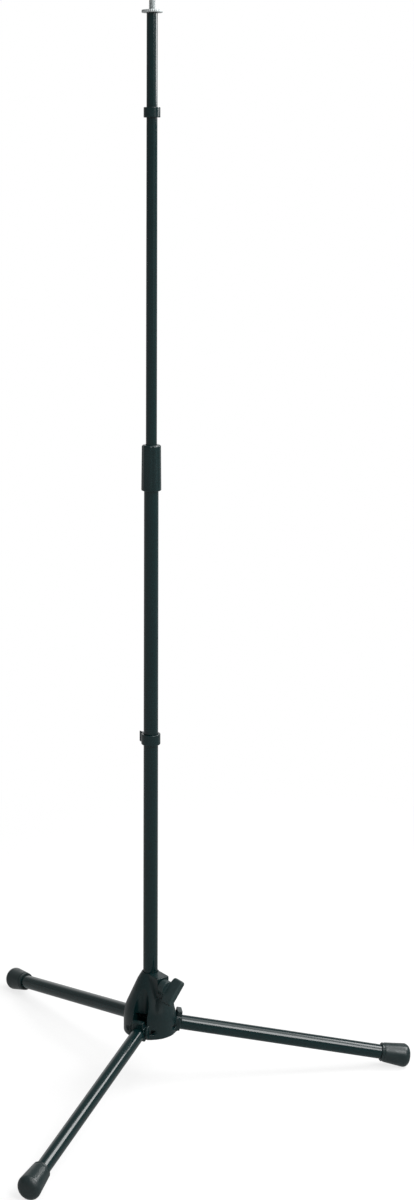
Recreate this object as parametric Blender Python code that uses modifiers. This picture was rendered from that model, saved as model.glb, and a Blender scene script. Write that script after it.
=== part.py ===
"""Microphone stand: a straight mast in two sections, on a die-cast base with three folding legs.

Everything is in metres, with +Z up and the floor at z = 0. The origin is on the floor, in the middle
of the stand's footprint, and the first leg points along +X.
"""

import math

import bmesh
import bpy
from mathutils import Matrix, Vector

# Gap that two pieces in contact keep
FIT = 0.0003

# Base casting. Heights are from the level of the leg pivots, and radii from the mast's axis.
PIVOT_HEIGHT = 0.0786
PIVOT_RADIUS = 0.0325
COLLAR_HEIGHT = 0.0734
COLLAR_RADIUS = 0.0122
SHOULDER_HEIGHT = 0.0624
SHOULDER_RADIUS = 0.0189
HIP_HEIGHT = 0.0297
HIP_RADIUS = 0.0340
SKIRT_RADIUS = 0.0385
SKIRT_DROP = 0.0104
SKIRT_EDGE = 0.0010
CASTING_WALL = 0.0042
POCKET_HEIGHT = 0.0480
EAR_RADIUS = 0.0108
EAR_THICKNESS = 0.0040
SLOT_SIDE_GAP = 0.0003
SLOT_WALL = 0.0034

# Clamp lug on the collar, with the wing bolt that presses on the mast
LUG_AZIMUTH = math.radians(-60)
LUG_REACH = 0.0315
LUG_WIDTH = 0.0200
LUG_HEIGHT = 0.0264
LUG_EDGE = 0.0020
BOLT_HEIGHT = 0.0609
BOLT_RADIUS = 0.0040
PAD_THICKNESS = 0.0022
WING_GAP = 0.0008
WING_HUB_RADIUS = 0.0110
WING_HUB_LENGTH = 0.0119
WING_LENGTH = 0.0380
WING_WIDTH = 0.0229
WING_THICKNESS = 0.0095
WING_TAPER = 0.22
WING_TURN = math.radians(50)
BOLT_GRIP = 0.0240

# Legs, each along its own line from its pivot
LEG_AZIMUTHS = {"a": 0.0, "b": math.radians(-120), "c": math.radians(120)}
LEG_LENGTH = 0.3536
LEG_FOLD = math.radians(100)
LEG_TUBE_RADIUS = 0.00975
LEG_TUBE_WALL = 0.0013
KNUCKLE_RADIUS = 0.0100
KNUCKLE_WIDTH = 0.0200
SHOULDER_LENGTH = 0.0107
STOP_START = 0.0030
STOP_HEIGHT = 0.0178
STOP_WIDTH = 0.0170
STEM_LENGTH = 0.0240
ROOT_EDGE = 0.0008
PIN_RADIUS = 0.0030
PIN_CHAMFER = 0.0005
FOOT_LENGTH = 0.0430
FOOT_RADIUS = 0.0160
FOOT_MOUTH_RADIUS = 0.0127
FOOT_ROUND = 0.0095
FOOT_LIP = 0.0012
FOOT_END_WALL = 0.0070
FOOT_FLAT_DEPTH = 0.0008

# Clamp plate that the mast draws up under the leg knuckles
PLATE_TOP = -0.0056
PLATE_THICKNESS = 0.0055
PLATE_RIM_HEIGHT = 0.0037
PLATE_EDGE = 0.0012
SCREW_RADIUS = 0.0030
SCREW_HEAD_RADIUS = 0.0060
SCREW_HEAD_HEIGHT = 0.0040
SCREW_DEPTH = 0.0150
END_PLUG_LENGTH = 0.0200

# Mast tubes
LOWER_TUBE_RADIUS = 0.0105
LOWER_TUBE_WALL = 0.0015
LOWER_TUBE_LENGTH = 0.8067
UPPER_TUBE_RADIUS = 0.0080
UPPER_TUBE_WALL = 0.0012
UPPER_TUBE_LENGTH = 0.7770
UPPER_TUBE_INSERTED = 0.1230
BUSHING_LENGTH = 0.0250
BUSHING_FLANGE = 0.0080
BUSHING_EDGE = 0.0010
BUSHING_BORE = 0.0030

# Height clutch on top of the lower tube. Heights are from the lower tube's top.
SLEEVE_LENGTH = 0.0660
SLEEVE_OVERLAP = 0.0340
SLEEVE_TOP_RADIUS = 0.0139
SLEEVE_BOTTOM_RADIUS = 0.0145
SLEEVE_ROUND = 0.0028
SLEEVE_FLUTES = 10
SLEEVE_FLUTE_DEPTH = 0.0005
SLEEVE_LIP = 0.0060
CLUTCH_BODY_RADIUS = 0.0122
CLUTCH_BODY_OVERLAP = 0.0280
CLUTCH_SEAT = 0.0040
COLLET_LENGTH = 0.0200
COLLET_TOP_RADIUS = 0.0103
COLLET_BASE = 0.0035
COLLET_SLIT = 0.0016

# Threaded stud on top, with its lock nut
STUD_RADIUS = 0.00476
STUD_STANDOUT = 0.0194
STUD_CHAMFER = 0.0012
STUD_ROOT = 0.0240
TOP_PLUG_LENGTH = 0.0220
NUT_RADIUS = 0.0153
NUT_THICKNESS = 0.0038
NUT_CHAMFER = 0.0005
NUT_RIDGES = 32
NUT_RIDGE_DEPTH = 0.0004

# Cable clips. Each has a ring that springs onto its tube and an open hook for the cable.
CLIP_HEIGHT = 0.0148
CLIP_EDGE = 0.0006
UPPER_CLIP_RADIUS = 0.0122
UPPER_CLIP_BELOW_TOP = 0.1433
UPPER_CLIP_AZIMUTH = math.radians(83)
LOWER_CLIP_RADIUS = 0.0138
LOWER_CLIP_HEIGHT = 0.4090
LOWER_CLIP_AZIMUTH = math.radians(120)
CLIP_MOUTH_TURN = math.radians(-58)
CLIP_MOUTH_ANGLE = math.radians(44)
HOOK_BORE_RADIUS = 0.0040
HOOK_WALL = 0.0018
HOOK_STANDOFF = 0.0003
HOOK_MOUTH_ANGLE = math.radians(90)

BELL_STEPS = 42
ROUND_STEPS = 36
FLUTE_STEPS = 5
FOOT_STEPS = 28
RING_STEPS = 26
HOOK_STEPS = 15
SMALL_STEPS = 26
SMOOTH_ANGLE = math.radians(30)
MERGE = 0.00001

# Places that follow from the sizes above
KNUCKLE_HALF = KNUCKLE_WIDTH / 2
SLOT_HALF = KNUCKLE_HALF + SLOT_SIDE_GAP
EAR_HALF = SLOT_HALF + EAR_THICKNESS
STOP_SWING = math.hypot(SHOULDER_LENGTH, STOP_HEIGHT)
PIN_HOLE_RADIUS = PIN_RADIUS + FIT
MAST_BORE_RADIUS = LOWER_TUBE_RADIUS + FIT
LOWER_TUBE_BORE = LOWER_TUBE_RADIUS - LOWER_TUBE_WALL
UPPER_TUBE_BORE = UPPER_TUBE_RADIUS - UPPER_TUBE_WALL
LOWER_TUBE_BOTTOM = PLATE_TOP + FIT
LOWER_TUBE_TOP = LOWER_TUBE_BOTTOM + LOWER_TUBE_LENGTH
UPPER_TUBE_BOTTOM = LOWER_TUBE_TOP - UPPER_TUBE_INSERTED
UPPER_TUBE_TOP = UPPER_TUBE_BOTTOM + UPPER_TUBE_LENGTH
NUT_BOTTOM = UPPER_TUBE_TOP + FIT
STUD_TOP = UPPER_TUBE_TOP + STUD_STANDOUT


def leg_slope():
    """The angle below level at which the foot caps meet the floor, cut flat by FOOT_FLAT_DEPTH."""
    along = LEG_LENGTH - FOOT_ROUND
    across = FOOT_RADIUS - FOOT_ROUND
    drop = PIVOT_HEIGHT + FOOT_FLAT_DEPTH - FOOT_ROUND
    return math.asin(drop / math.hypot(along, across)) - math.atan2(across, along)


LEG_SLOPE = leg_slope()


def stop_reach():
    """How far from its pivot a leg's fold stop reaches towards the mast when the leg is folded."""
    swing = LEG_FOLD - LEG_SLOPE
    return STOP_HEIGHT * math.sin(swing) - STOP_START * math.cos(swing)


def foot_reach(turn):
    """How far a foot cap reaches from the mast, along a level line at this angle from its leg."""
    along = math.cos(turn) * math.cos(LEG_SLOPE)
    across = math.sqrt(1 - along * along)
    cap = (LEG_LENGTH - FOOT_ROUND) * along + (FOOT_RADIUS - FOOT_ROUND) * across + FOOT_ROUND
    return PIVOT_RADIUS * math.cos(turn) + cap


# The mast stands behind the middle of the footprint, which the first leg stretches forwards
MAST_X = (foot_reach(math.pi / 3) - foot_reach(0)) / 2


def clear_scene():
    for obj in list(bpy.data.objects):
        bpy.data.objects.remove(obj, do_unlink=True)


def new_collection(name):
    collection = bpy.data.collections.new(name)
    bpy.context.scene.collection.children.link(collection)
    return collection


clear_scene()
STAND = new_collection("microphone_stand")
CUTTERS = new_collection("cutters")


def new_material(name, color, roughness, metallic):
    material = bpy.data.materials.new(name)
    material.use_nodes = True
    shader = material.node_tree.nodes["Principled BSDF"]
    shader.inputs["Base Color"].default_value = (*color, 1)
    shader.inputs["Roughness"].default_value = roughness
    shader.inputs["Metallic"].default_value = metallic
    return material


POWDER_COAT = new_material("black_powder_coat", (0.012, 0.017, 0.018), 0.32, 0.0)
CAST_BLACK = new_material("black_die_cast", (0.014, 0.019, 0.020), 0.45, 0.0)
BLACK_STEEL = new_material("blackened_steel", (0.014, 0.019, 0.020), 0.40, 0.0)
BLACK_PLASTIC = new_material("black_moulded_plastic", (0.013, 0.018, 0.019), 0.40, 0.0)
BLACK_RUBBER = new_material("black_rubber", (0.016, 0.021, 0.022), 0.65, 0.0)
PLAIN_STEEL = new_material("zinc_plated_steel", (0.58, 0.60, 0.60), 0.35, 1.0)
WHITE_NYLON = new_material("natural_nylon", (0.70, 0.69, 0.64), 0.50, 0.0)


def new_frame(name, parent=None, location=(0, 0, 0), rotation=(0, 0, 0)):
    frame = bpy.data.objects.new(name, None)
    frame.empty_display_size = 0.02
    STAND.objects.link(frame)
    frame.parent = parent
    frame.location = location
    frame.rotation_euler = rotation
    return frame


def new_object(name, bm, parent, material=None, location=(0, 0, 0), rotation=(0, 0, 0)):
    """An object with this mesh: a piece of the stand if it has a material, and otherwise a cutter."""
    mesh = bpy.data.meshes.new(name)
    bm.to_mesh(mesh)
    bm.free()
    obj = bpy.data.objects.new(name, mesh)
    obj.parent = parent
    obj.location = location
    obj.rotation_euler = rotation
    if material:
        mesh.materials.append(material)
        STAND.objects.link(obj)
    else:
        obj.hide_render = True
        obj.display_type = "WIRE"
        CUTTERS.objects.link(obj)
    return obj


def turned(name, outline, parent, material=None, steps=ROUND_STEPS, **place):
    """A shape turned about its own Z. The outline is (radius, height) points, down the outer side.

    One that starts and ends on the axis makes a solid piece, and any other is closed into a ring.
    """
    bm = bmesh.new()
    points = [bm.verts.new((radius, 0, height)) for radius, height in outline]
    for start, end in zip(points, points[1:]):
        bm.edges.new((start, end))
    if outline[0][0] > 0:
        bm.edges.new((points[-1], points[0]))
    obj = new_object(name, bm, parent, material, **place)
    screw = obj.modifiers.new("turn", "SCREW")
    screw.steps = steps
    screw.render_steps = steps
    screw.use_merge_vertices = True
    screw.merge_threshold = MERGE
    return obj


def box(low, high):
    """A bmesh box between two corners."""
    low, high = Vector(low), Vector(high)
    bm = bmesh.new()
    size = Matrix.Diagonal((*(high - low), 1))
    bmesh.ops.create_cube(bm, size=1, matrix=Matrix.Translation((low + high) / 2) @ size)
    return bm


def rod(radius, length, axis="Z", start=0.0, steps=SMALL_STEPS):
    """A bmesh cylinder along one axis, from start to start + length."""
    turn = {
        "X": Matrix.Rotation(math.pi / 2, 4, "Y"),
        "Y": Matrix.Rotation(-math.pi / 2, 4, "X"),
        "Z": Matrix.Identity(4),
    }[axis]
    bm = bmesh.new()
    bmesh.ops.create_cone(
        bm,
        cap_ends=True,
        segments=steps,
        radius1=radius,
        radius2=radius,
        depth=length,
        matrix=turn @ Matrix.Translation((0, 0, start + length / 2)),
    )
    return bm


def bevelled(bm, width, segments=2, angle=math.radians(40)):
    """The bmesh with every edge sharper than this angle rounded."""
    edges = [edge for edge in bm.edges if edge.calc_face_angle(0) > angle]
    bmesh.ops.bevel(
        bm, geom=edges, offset=width, affect="EDGES", segments=segments, profile=0.5, material=-1
    )
    return bm


def join(obj, other):
    boolean = obj.modifiers.new("join " + other.name, "BOOLEAN")
    boolean.operation = "UNION"
    boolean.object = other


def cut(obj, cutter):
    boolean = obj.modifiers.new("cut " + cutter.name, "BOOLEAN")
    boolean.operation = "DIFFERENCE"
    boolean.object = cutter


def arc(centre, radius, start, end, count):
    """Points (x, y) on an arc, from the start angle to the end angle."""
    angles = [start + (end - start) * index / (count - 1) for index in range(count)]
    return [(centre[0] + radius * math.cos(a), centre[1] + radius * math.sin(a)) for a in angles]


def curve_between(start, control, end, count):
    """Points on a quadratic curve, without its two ends."""
    points = []
    for index in range(1, count + 1):
        t = index / (count + 1)
        points.append(
            tuple(
                (1 - t) ** 2 * a + 2 * t * (1 - t) * b + t * t * c
                for a, b, c in zip(start, control, end)
            )
        )
    return points


def tube_outline(outer, inner, bottom, top):
    """The section of a tube's wall."""
    return [(inner, top), (outer, top), (outer, bottom), (inner, bottom)]


# The hub's frame is on the mast's axis, level with the leg pivots
HUB = new_frame("hub_frame", location=(MAST_X, 0, PIVOT_HEIGHT))
PIVOTS = {}
for LEG, AZIMUTH in LEG_AZIMUTHS.items():
    PIVOTS[LEG] = new_frame(
        f"leg_{LEG}_pivot",
        HUB,
        (PIVOT_RADIUS * math.cos(AZIMUTH), PIVOT_RADIUS * math.sin(AZIMUTH), 0),
        (0, LEG_SLOPE, AZIMUTH),
    )
BOLT_FRAME = new_frame("wing_bolt_axis", HUB, (0, 0, BOLT_HEIGHT), (0, 0, LUG_AZIMUTH))
CLUTCH_FRAME = new_frame("clutch_frame", HUB, (0, 0, LOWER_TUBE_TOP))


def bell_outline(wall=0.0):
    """The casting's outer curve from the collar down to the skirt, moved in by a wall."""
    shoulder = (SHOULDER_RADIUS, SHOULDER_HEIGHT)
    hip = (HIP_RADIUS, HIP_HEIGHT)
    lean = (HIP_RADIUS - SHOULDER_RADIUS) / (SHOULDER_HEIGHT - HIP_HEIGHT)
    control = (SKIRT_RADIUS, HIP_HEIGHT - (SKIRT_RADIUS - HIP_RADIUS) / lean)
    skirt_top = (SKIRT_RADIUS, 2 * control[1] - HIP_HEIGHT)
    curve = [shoulder, hip, *curve_between(hip, control, skirt_top, 3), skirt_top]
    return [(radius - wall, height) for radius, height in curve]


def build_base_casting():
    """The die-cast base: a bell with a collar for the mast and a pair of ears for each leg."""
    outline = [
        (0, COLLAR_HEIGHT),
        (COLLAR_RADIUS, COLLAR_HEIGHT),
        *bell_outline(),
        (SKIRT_RADIUS, SKIRT_EDGE - SKIRT_DROP),
        (SKIRT_RADIUS - SKIRT_EDGE, -SKIRT_DROP),
        (0, -SKIRT_DROP),
    ]
    casting = turned("base_casting", outline, HUB, CAST_BLACK, BELL_STEPS)
    for leg, pivot_frame in PIVOTS.items():
        ears = rod(EAR_RADIUS, 2 * EAR_HALF, "Y", -EAR_HALF)
        join(casting, new_object(f"ears_{leg}", ears, pivot_frame))
    join(casting, clamp_lug())
    mast_hole = rod(
        MAST_BORE_RADIUS, COLLAR_HEIGHT + 3 * SKIRT_DROP, "Z", -2 * SKIRT_DROP, ROUND_STEPS
    )
    cut(casting, new_object("mast_bore", mast_hole, HUB))
    cut(casting, pockets())
    recess_top = PLATE_TOP + 2 * FIT
    recess = rod(plate_rim_radius() + 3 * FIT, 2 * SKIRT_DROP, "Z", recess_top - 2 * SKIRT_DROP)
    cut(casting, new_object("plate_recess", recess, HUB))
    for leg, azimuth in LEG_AZIMUTHS.items():
        cut_leg_slot(casting, leg, azimuth)
    bolt_hole = rod(BOLT_RADIUS + FIT, 2 * LUG_REACH, "X")
    cut(casting, new_object("bolt_hole", bolt_hole, BOLT_FRAME))


def clamp_lug():
    """The flat-topped lug that stands out from the collar round the wing bolt."""
    top = LUG_HEIGHT / 2
    foot = HIP_HEIGHT - BOLT_HEIGHT + CASTING_WALL
    side = [(0, top), (LUG_REACH, top), (LUG_REACH, -top), (SHOULDER_RADIUS, foot), (0, foot)]
    bm = bmesh.new()
    face = bm.faces.new([bm.verts.new((x, -LUG_WIDTH / 2, z)) for x, z in side])
    swept = bmesh.ops.extrude_face_region(bm, geom=[face])
    moved = [item for item in swept["geom"] if isinstance(item, bmesh.types.BMVert)]
    bmesh.ops.translate(bm, verts=moved, vec=(0, LUG_WIDTH, 0))
    bmesh.ops.recalc_face_normals(bm, faces=bm.faces)
    return new_object("clamp_lug", bevelled(bm, LUG_EDGE, 3), BOLT_FRAME)


def pockets():
    """The three hollows under the bell, between the walls of the leg slots."""
    hub_radius = MAST_BORE_RADIUS + CASTING_WALL
    inner = [point for point in bell_outline(CASTING_WALL) if point[1] < POCKET_HEIGHT]
    top_radius = inner[0][0] - (POCKET_HEIGHT - inner[0][1]) * (
        (HIP_RADIUS - SHOULDER_RADIUS) / (SHOULDER_HEIGHT - HIP_HEIGHT)
    )
    outline = [
        (hub_radius, POCKET_HEIGHT),
        (top_radius, POCKET_HEIGHT),
        *inner,
        (SKIRT_RADIUS - CASTING_WALL, -2 * SKIRT_DROP),
        (hub_radius, -2 * SKIRT_DROP),
    ]
    hollow = turned("pockets", outline, HUB, steps=SMALL_STEPS)
    for leg, azimuth in LEG_AZIMUTHS.items():
        side = SLOT_HALF + SLOT_WALL
        kept = box((0, -side, -3 * SKIRT_DROP), (2 * SKIRT_RADIUS, side, 2 * POCKET_HEIGHT))
        cut(hollow, new_object(f"slot_walls_{leg}", kept, HUB, rotation=(0, 0, azimuth)))
    return hollow


def cut_leg_slot(casting, leg, azimuth):
    """The slot that a leg swings in, the channel that it folds up into, and its pin hole.

    The slot ends in a flat wall on the mast's side, clear of the folded leg's stop. The pin hole is
    drilled through from the outside, because the pins are pressed in there.
    """
    place = {
        "location": (PIVOT_RADIUS * math.cos(azimuth), PIVOT_RADIUS * math.sin(azimuth), 0),
        "rotation": (0, 0, azimuth),
    }
    slot = rod(STOP_SWING + 2 * FIT, 2 * SLOT_HALF, "Y", -SLOT_HALF)
    bmesh.ops.bisect_plane(
        slot,
        geom=slot.verts[:] + slot.edges[:] + slot.faces[:],
        plane_co=(-stop_reach() - 2 * FIT, 0, 0),
        plane_no=(-1, 0, 0),
        clear_outer=True,
    )
    bmesh.ops.holes_fill(slot, edges=[edge for edge in slot.edges if edge.is_boundary])
    bmesh.ops.recalc_face_normals(slot, faces=slot.faces)
    cut(casting, new_object(f"leg_slot_{leg}", slot, HUB, **place))
    channel = rod(LEG_TUBE_RADIUS + 2 * FIT, COLLAR_HEIGHT)
    cut(casting, new_object(f"fold_channel_{leg}", channel, HUB, **place))
    pin_hole = rod(PIN_HOLE_RADIUS, 4 * EAR_HALF, "Y", -2 * EAR_HALF)
    cut(casting, new_object(f"pin_hole_{leg}", pin_hole, HUB, **place))


def plate_rim_line(height):
    """The plate's radius at a height on its cone, which lies at 45 degrees against the knuckles."""
    return PIVOT_RADIUS - (KNUCKLE_RADIUS + FIT) * math.sqrt(2) - height


def plate_rim_radius():
    return plate_rim_line(PLATE_TOP - PLATE_RIM_HEIGHT)


def build_clamp_plate():
    """The dished plate under the base, with the screw that holds it to the mast's end plug."""
    bottom = PLATE_TOP - PLATE_THICKNESS
    rim = PLATE_TOP - PLATE_RIM_HEIGHT
    outline = [
        (SCREW_RADIUS + FIT, PLATE_TOP),
        (plate_rim_line(PLATE_TOP), PLATE_TOP),
        (plate_rim_line(rim), rim),
        (plate_rim_line(rim) - PLATE_EDGE, bottom),
        (SCREW_RADIUS + FIT, bottom),
    ]
    turned("clamp_plate", outline, HUB, PLAIN_STEEL)
    plug = tube_outline(
        LOWER_TUBE_BORE - FIT,
        SCREW_RADIUS + FIT,
        LOWER_TUBE_BOTTOM,
        LOWER_TUBE_BOTTOM + END_PLUG_LENGTH,
    )
    turned("mast_end_plug", plug, HUB, PLAIN_STEEL, SMALL_STEPS)
    head_top = bottom - FIT
    screw = [
        (0, bottom + SCREW_DEPTH),
        (SCREW_RADIUS - PIN_CHAMFER, bottom + SCREW_DEPTH),
        (SCREW_RADIUS, bottom + SCREW_DEPTH - PIN_CHAMFER),
        (SCREW_RADIUS, head_top),
        (SCREW_HEAD_RADIUS, head_top),
        (SCREW_HEAD_RADIUS, head_top - SCREW_HEAD_HEIGHT / 2),
        (SCREW_HEAD_RADIUS / 2, head_top - SCREW_HEAD_HEIGHT),
        (0, head_top - SCREW_HEAD_HEIGHT),
    ]
    turned("clamp_plate_screw", screw, HUB, PLAIN_STEEL, SMALL_STEPS)


def build_wing_bolt():
    """The wing bolt: a threaded shank, a moulded T-shaped head, and the pad that it presses."""
    pad_start = LOWER_TUBE_RADIUS + FIT
    pad = rod(BOLT_RADIUS, PAD_THICKNESS, "X", pad_start)
    new_object("pressure_pad", pad, BOLT_FRAME, WHITE_NYLON)
    hub_start = LUG_REACH + WING_GAP
    shank_start = pad_start + PAD_THICKNESS + FIT
    shank_length = hub_start + BOLT_GRIP - shank_start
    shank = rod(BOLT_RADIUS, shank_length, "X", shank_start)
    new_object("wing_bolt_shank", shank, BOLT_FRAME, PLAIN_STEEL)
    head = new_object("wing_bolt_head", wing_bar(hub_start), BOLT_FRAME, BLACK_PLASTIC)
    head.rotation_euler = (WING_TURN, 0, 0)
    hub = bevelled(rod(WING_HUB_RADIUS, WING_HUB_LENGTH, "X", hub_start), ROOT_EDGE)
    join(head, new_object("wing_hub", hub, BOLT_FRAME))
    neck = rod(BOLT_RADIUS + FIT, BOLT_GRIP + 2 * FIT, "X", hub_start - FIT)
    cut(head, new_object("shank_hole", neck, BOLT_FRAME))


def wing_bar(hub_start):
    """The head's bar, thinner and rounder towards its two ends."""
    start = hub_start + WING_HUB_LENGTH - 2 * ROOT_EDGE
    half = WING_LENGTH / 2
    bm = box(
        (start, -half, -WING_THICKNESS / 2),
        (start + WING_WIDTH, half, WING_THICKNESS / 2),
    )
    across = [edge for edge in bm.edges if abs(edge.verts[0].co.y - edge.verts[1].co.y) > half]
    bmesh.ops.subdivide_edges(bm, edges=across, cuts=3, use_grid_fill=True)
    for vert in bm.verts:
        share = abs(vert.co.y) / half
        vert.co.z *= 1 - WING_TAPER * share
    return bevelled(bm, WING_THICKNESS * (1 - WING_TAPER) / 3, 2)


def build_leg(leg, pivot_frame):
    """One leg: a cast root on its pin, a tube pressed over the root's stem, and a rubber foot cap."""
    azimuth = LEG_AZIMUTHS[leg]
    root = new_object(
        f"leg_root_{leg}",
        rod(KNUCKLE_RADIUS, KNUCKLE_WIDTH, "Y", -KNUCKLE_HALF),
        pivot_frame,
        CAST_BLACK,
    )
    shoulder = box(
        (0, -KNUCKLE_HALF, -LEG_TUBE_RADIUS),
        (SHOULDER_LENGTH, KNUCKLE_HALF, LEG_TUBE_RADIUS),
    )
    join(root, new_object(f"root_shoulder_{leg}", bevelled(shoulder, ROOT_EDGE), pivot_frame))
    stop = box(
        (STOP_START, -STOP_WIDTH / 2, 0),
        (SHOULDER_LENGTH, STOP_WIDTH / 2, STOP_HEIGHT),
    )
    join(root, new_object(f"fold_stop_{leg}", bevelled(stop, ROOT_EDGE), pivot_frame))
    stem_radius = LEG_TUBE_RADIUS - LEG_TUBE_WALL - FIT
    stem_start = SHOULDER_LENGTH / 2
    stem = rod(stem_radius, SHOULDER_LENGTH - stem_start + STEM_LENGTH, "X", stem_start)
    join(root, new_object(f"root_stem_{leg}", stem, pivot_frame))
    pin_bore = rod(PIN_HOLE_RADIUS, 2 * KNUCKLE_WIDTH, "Y", -KNUCKLE_WIDTH)
    cut(root, new_object(f"pin_bore_{leg}", pin_bore, pivot_frame))

    pin = [
        (0, EAR_HALF),
        (PIN_RADIUS - PIN_CHAMFER, EAR_HALF),
        (PIN_RADIUS, EAR_HALF - PIN_CHAMFER),
        (PIN_RADIUS, PIN_CHAMFER - EAR_HALF),
        (PIN_RADIUS - PIN_CHAMFER, -EAR_HALF),
        (0, -EAR_HALF),
    ]
    turned(
        f"leg_pin_{leg}",
        pin,
        HUB,
        BLACK_STEEL,
        SMALL_STEPS,
        location=pivot_frame.location,
        rotation=(math.pi / 2, 0, azimuth),
    )

    along = (0, math.pi / 2, 0)
    tube_end = LEG_LENGTH - FOOT_END_WALL
    tube = tube_outline(
        LEG_TUBE_RADIUS,
        LEG_TUBE_RADIUS - LEG_TUBE_WALL,
        SHOULDER_LENGTH + FIT,
        tube_end,
    )
    turned(f"leg_tube_{leg}", tube, pivot_frame, POWDER_COAT, rotation=along)

    mouth = LEG_LENGTH - FOOT_LENGTH
    round_start = LEG_LENGTH - FOOT_ROUND
    end = arc((FOOT_RADIUS - FOOT_ROUND, round_start), FOOT_ROUND, math.pi / 2, 0, 6)
    bore = LEG_TUBE_RADIUS + FIT
    cap = [
        (0, LEG_LENGTH),
        *end,
        (FOOT_MOUTH_RADIUS, mouth + FOOT_LIP),
        (FOOT_MOUTH_RADIUS - FOOT_LIP, mouth),
        (bore, mouth),
        (bore, tube_end + FIT),
        (0, tube_end + FIT),
    ]
    foot = turned(f"foot_cap_{leg}", cap, pivot_frame, BLACK_RUBBER, FOOT_STEPS, rotation=along)
    floor = box((-2 * LEG_LENGTH, -2 * LEG_LENGTH, -LEG_LENGTH), (2 * LEG_LENGTH, 2 * LEG_LENGTH, 0))
    cut(foot, new_object(f"floor_{leg}", floor, None))


def build_mast():
    """The two tubes, with the plug and the bushing in the ends of the upper one."""
    lower = tube_outline(LOWER_TUBE_RADIUS, LOWER_TUBE_BORE, LOWER_TUBE_BOTTOM, LOWER_TUBE_TOP)
    turned("lower_tube", lower, HUB, POWDER_COAT)
    upper = tube_outline(UPPER_TUBE_RADIUS, UPPER_TUBE_BORE, UPPER_TUBE_BOTTOM, UPPER_TUBE_TOP)
    turned("upper_tube", upper, HUB, POWDER_COAT)
    flange_top = UPPER_TUBE_BOTTOM - FIT
    stem_radius = UPPER_TUBE_BORE - FIT
    flange_radius = LOWER_TUBE_BORE - FIT
    bushing = [
        (BUSHING_BORE, flange_top + BUSHING_LENGTH - BUSHING_FLANGE),
        (stem_radius, flange_top + BUSHING_LENGTH - BUSHING_FLANGE),
        (stem_radius, flange_top),
        (flange_radius, flange_top),
        (flange_radius, flange_top - BUSHING_FLANGE + BUSHING_EDGE),
        (flange_radius - BUSHING_EDGE, flange_top - BUSHING_FLANGE),
        (BUSHING_BORE, flange_top - BUSHING_FLANGE),
    ]
    turned("upper_tube_bushing", bushing, HUB, BLACK_PLASTIC, SMALL_STEPS)


def build_top():
    """The threaded stud in its plug, and the lock nut that rests on the upper tube."""
    plug_top = UPPER_TUBE_TOP - FIT
    plug = tube_outline(
        UPPER_TUBE_BORE - FIT, STUD_RADIUS + FIT, plug_top - TOP_PLUG_LENGTH, plug_top
    )
    turned("top_plug", plug, HUB, PLAIN_STEEL, SMALL_STEPS)
    stud = [
        (0, STUD_TOP),
        (STUD_RADIUS - STUD_CHAMFER, STUD_TOP),
        (STUD_RADIUS, STUD_TOP - STUD_CHAMFER),
        (STUD_RADIUS, UPPER_TUBE_TOP - STUD_ROOT + PIN_CHAMFER),
        (STUD_RADIUS - PIN_CHAMFER, UPPER_TUBE_TOP - STUD_ROOT),
        (0, UPPER_TUBE_TOP - STUD_ROOT),
    ]
    turned("thread_stud", stud, HUB, PLAIN_STEEL, SMALL_STEPS)
    disc = rod(NUT_RADIUS, NUT_THICKNESS, "Z", NUT_BOTTOM, 2 * NUT_RIDGES)
    disc = bevelled(disc, NUT_CHAMFER, 1, math.radians(60))
    for vert in disc.verts:
        place = math.atan2(vert.co.y, vert.co.x) / (math.pi / NUT_RIDGES)
        if round(place) % 2:
            reach = math.hypot(vert.co.x, vert.co.y)
            share = (reach - NUT_RIDGE_DEPTH) / reach
            vert.co.x *= share
            vert.co.y *= share
    nut = new_object("stud_lock_nut", disc, HUB, PLAIN_STEEL)
    nut_hole = rod(STUD_RADIUS + FIT, 3 * NUT_THICKNESS, "Z", NUT_BOTTOM - NUT_THICKNESS)
    cut(nut, new_object("nut_hole", nut_hole, HUB))


def sleeve_outline():
    """The clutch sleeve's section: a grip outside, and a bore that narrows round the collet."""
    top = SLEEVE_LENGTH - SLEEVE_OVERLAP
    cavity = CLUTCH_BODY_RADIUS + FIT
    cone_bottom = CLUTCH_SEAT + COLLET_BASE
    cone_top = top - SLEEVE_LIP
    top_round = arc(
        (SLEEVE_TOP_RADIUS - SLEEVE_ROUND, top - SLEEVE_ROUND), SLEEVE_ROUND, math.pi / 2, 0, 3
    )
    low_round = arc(
        (SLEEVE_BOTTOM_RADIUS - SLEEVE_ROUND / 2, SLEEVE_ROUND / 2 - SLEEVE_OVERLAP),
        SLEEVE_ROUND / 2,
        0,
        -math.pi / 2,
        3,
    )
    outer = [(UPPER_TUBE_RADIUS + 2 * FIT, top), *top_round, *low_round]
    inner = [
        (cavity, -SLEEVE_OVERLAP),
        (cavity, cone_bottom),
        (COLLET_TOP_RADIUS + FIT, cone_top),
        (UPPER_TUBE_RADIUS + 2 * FIT, cone_top),
    ]
    return outer + inner


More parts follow.
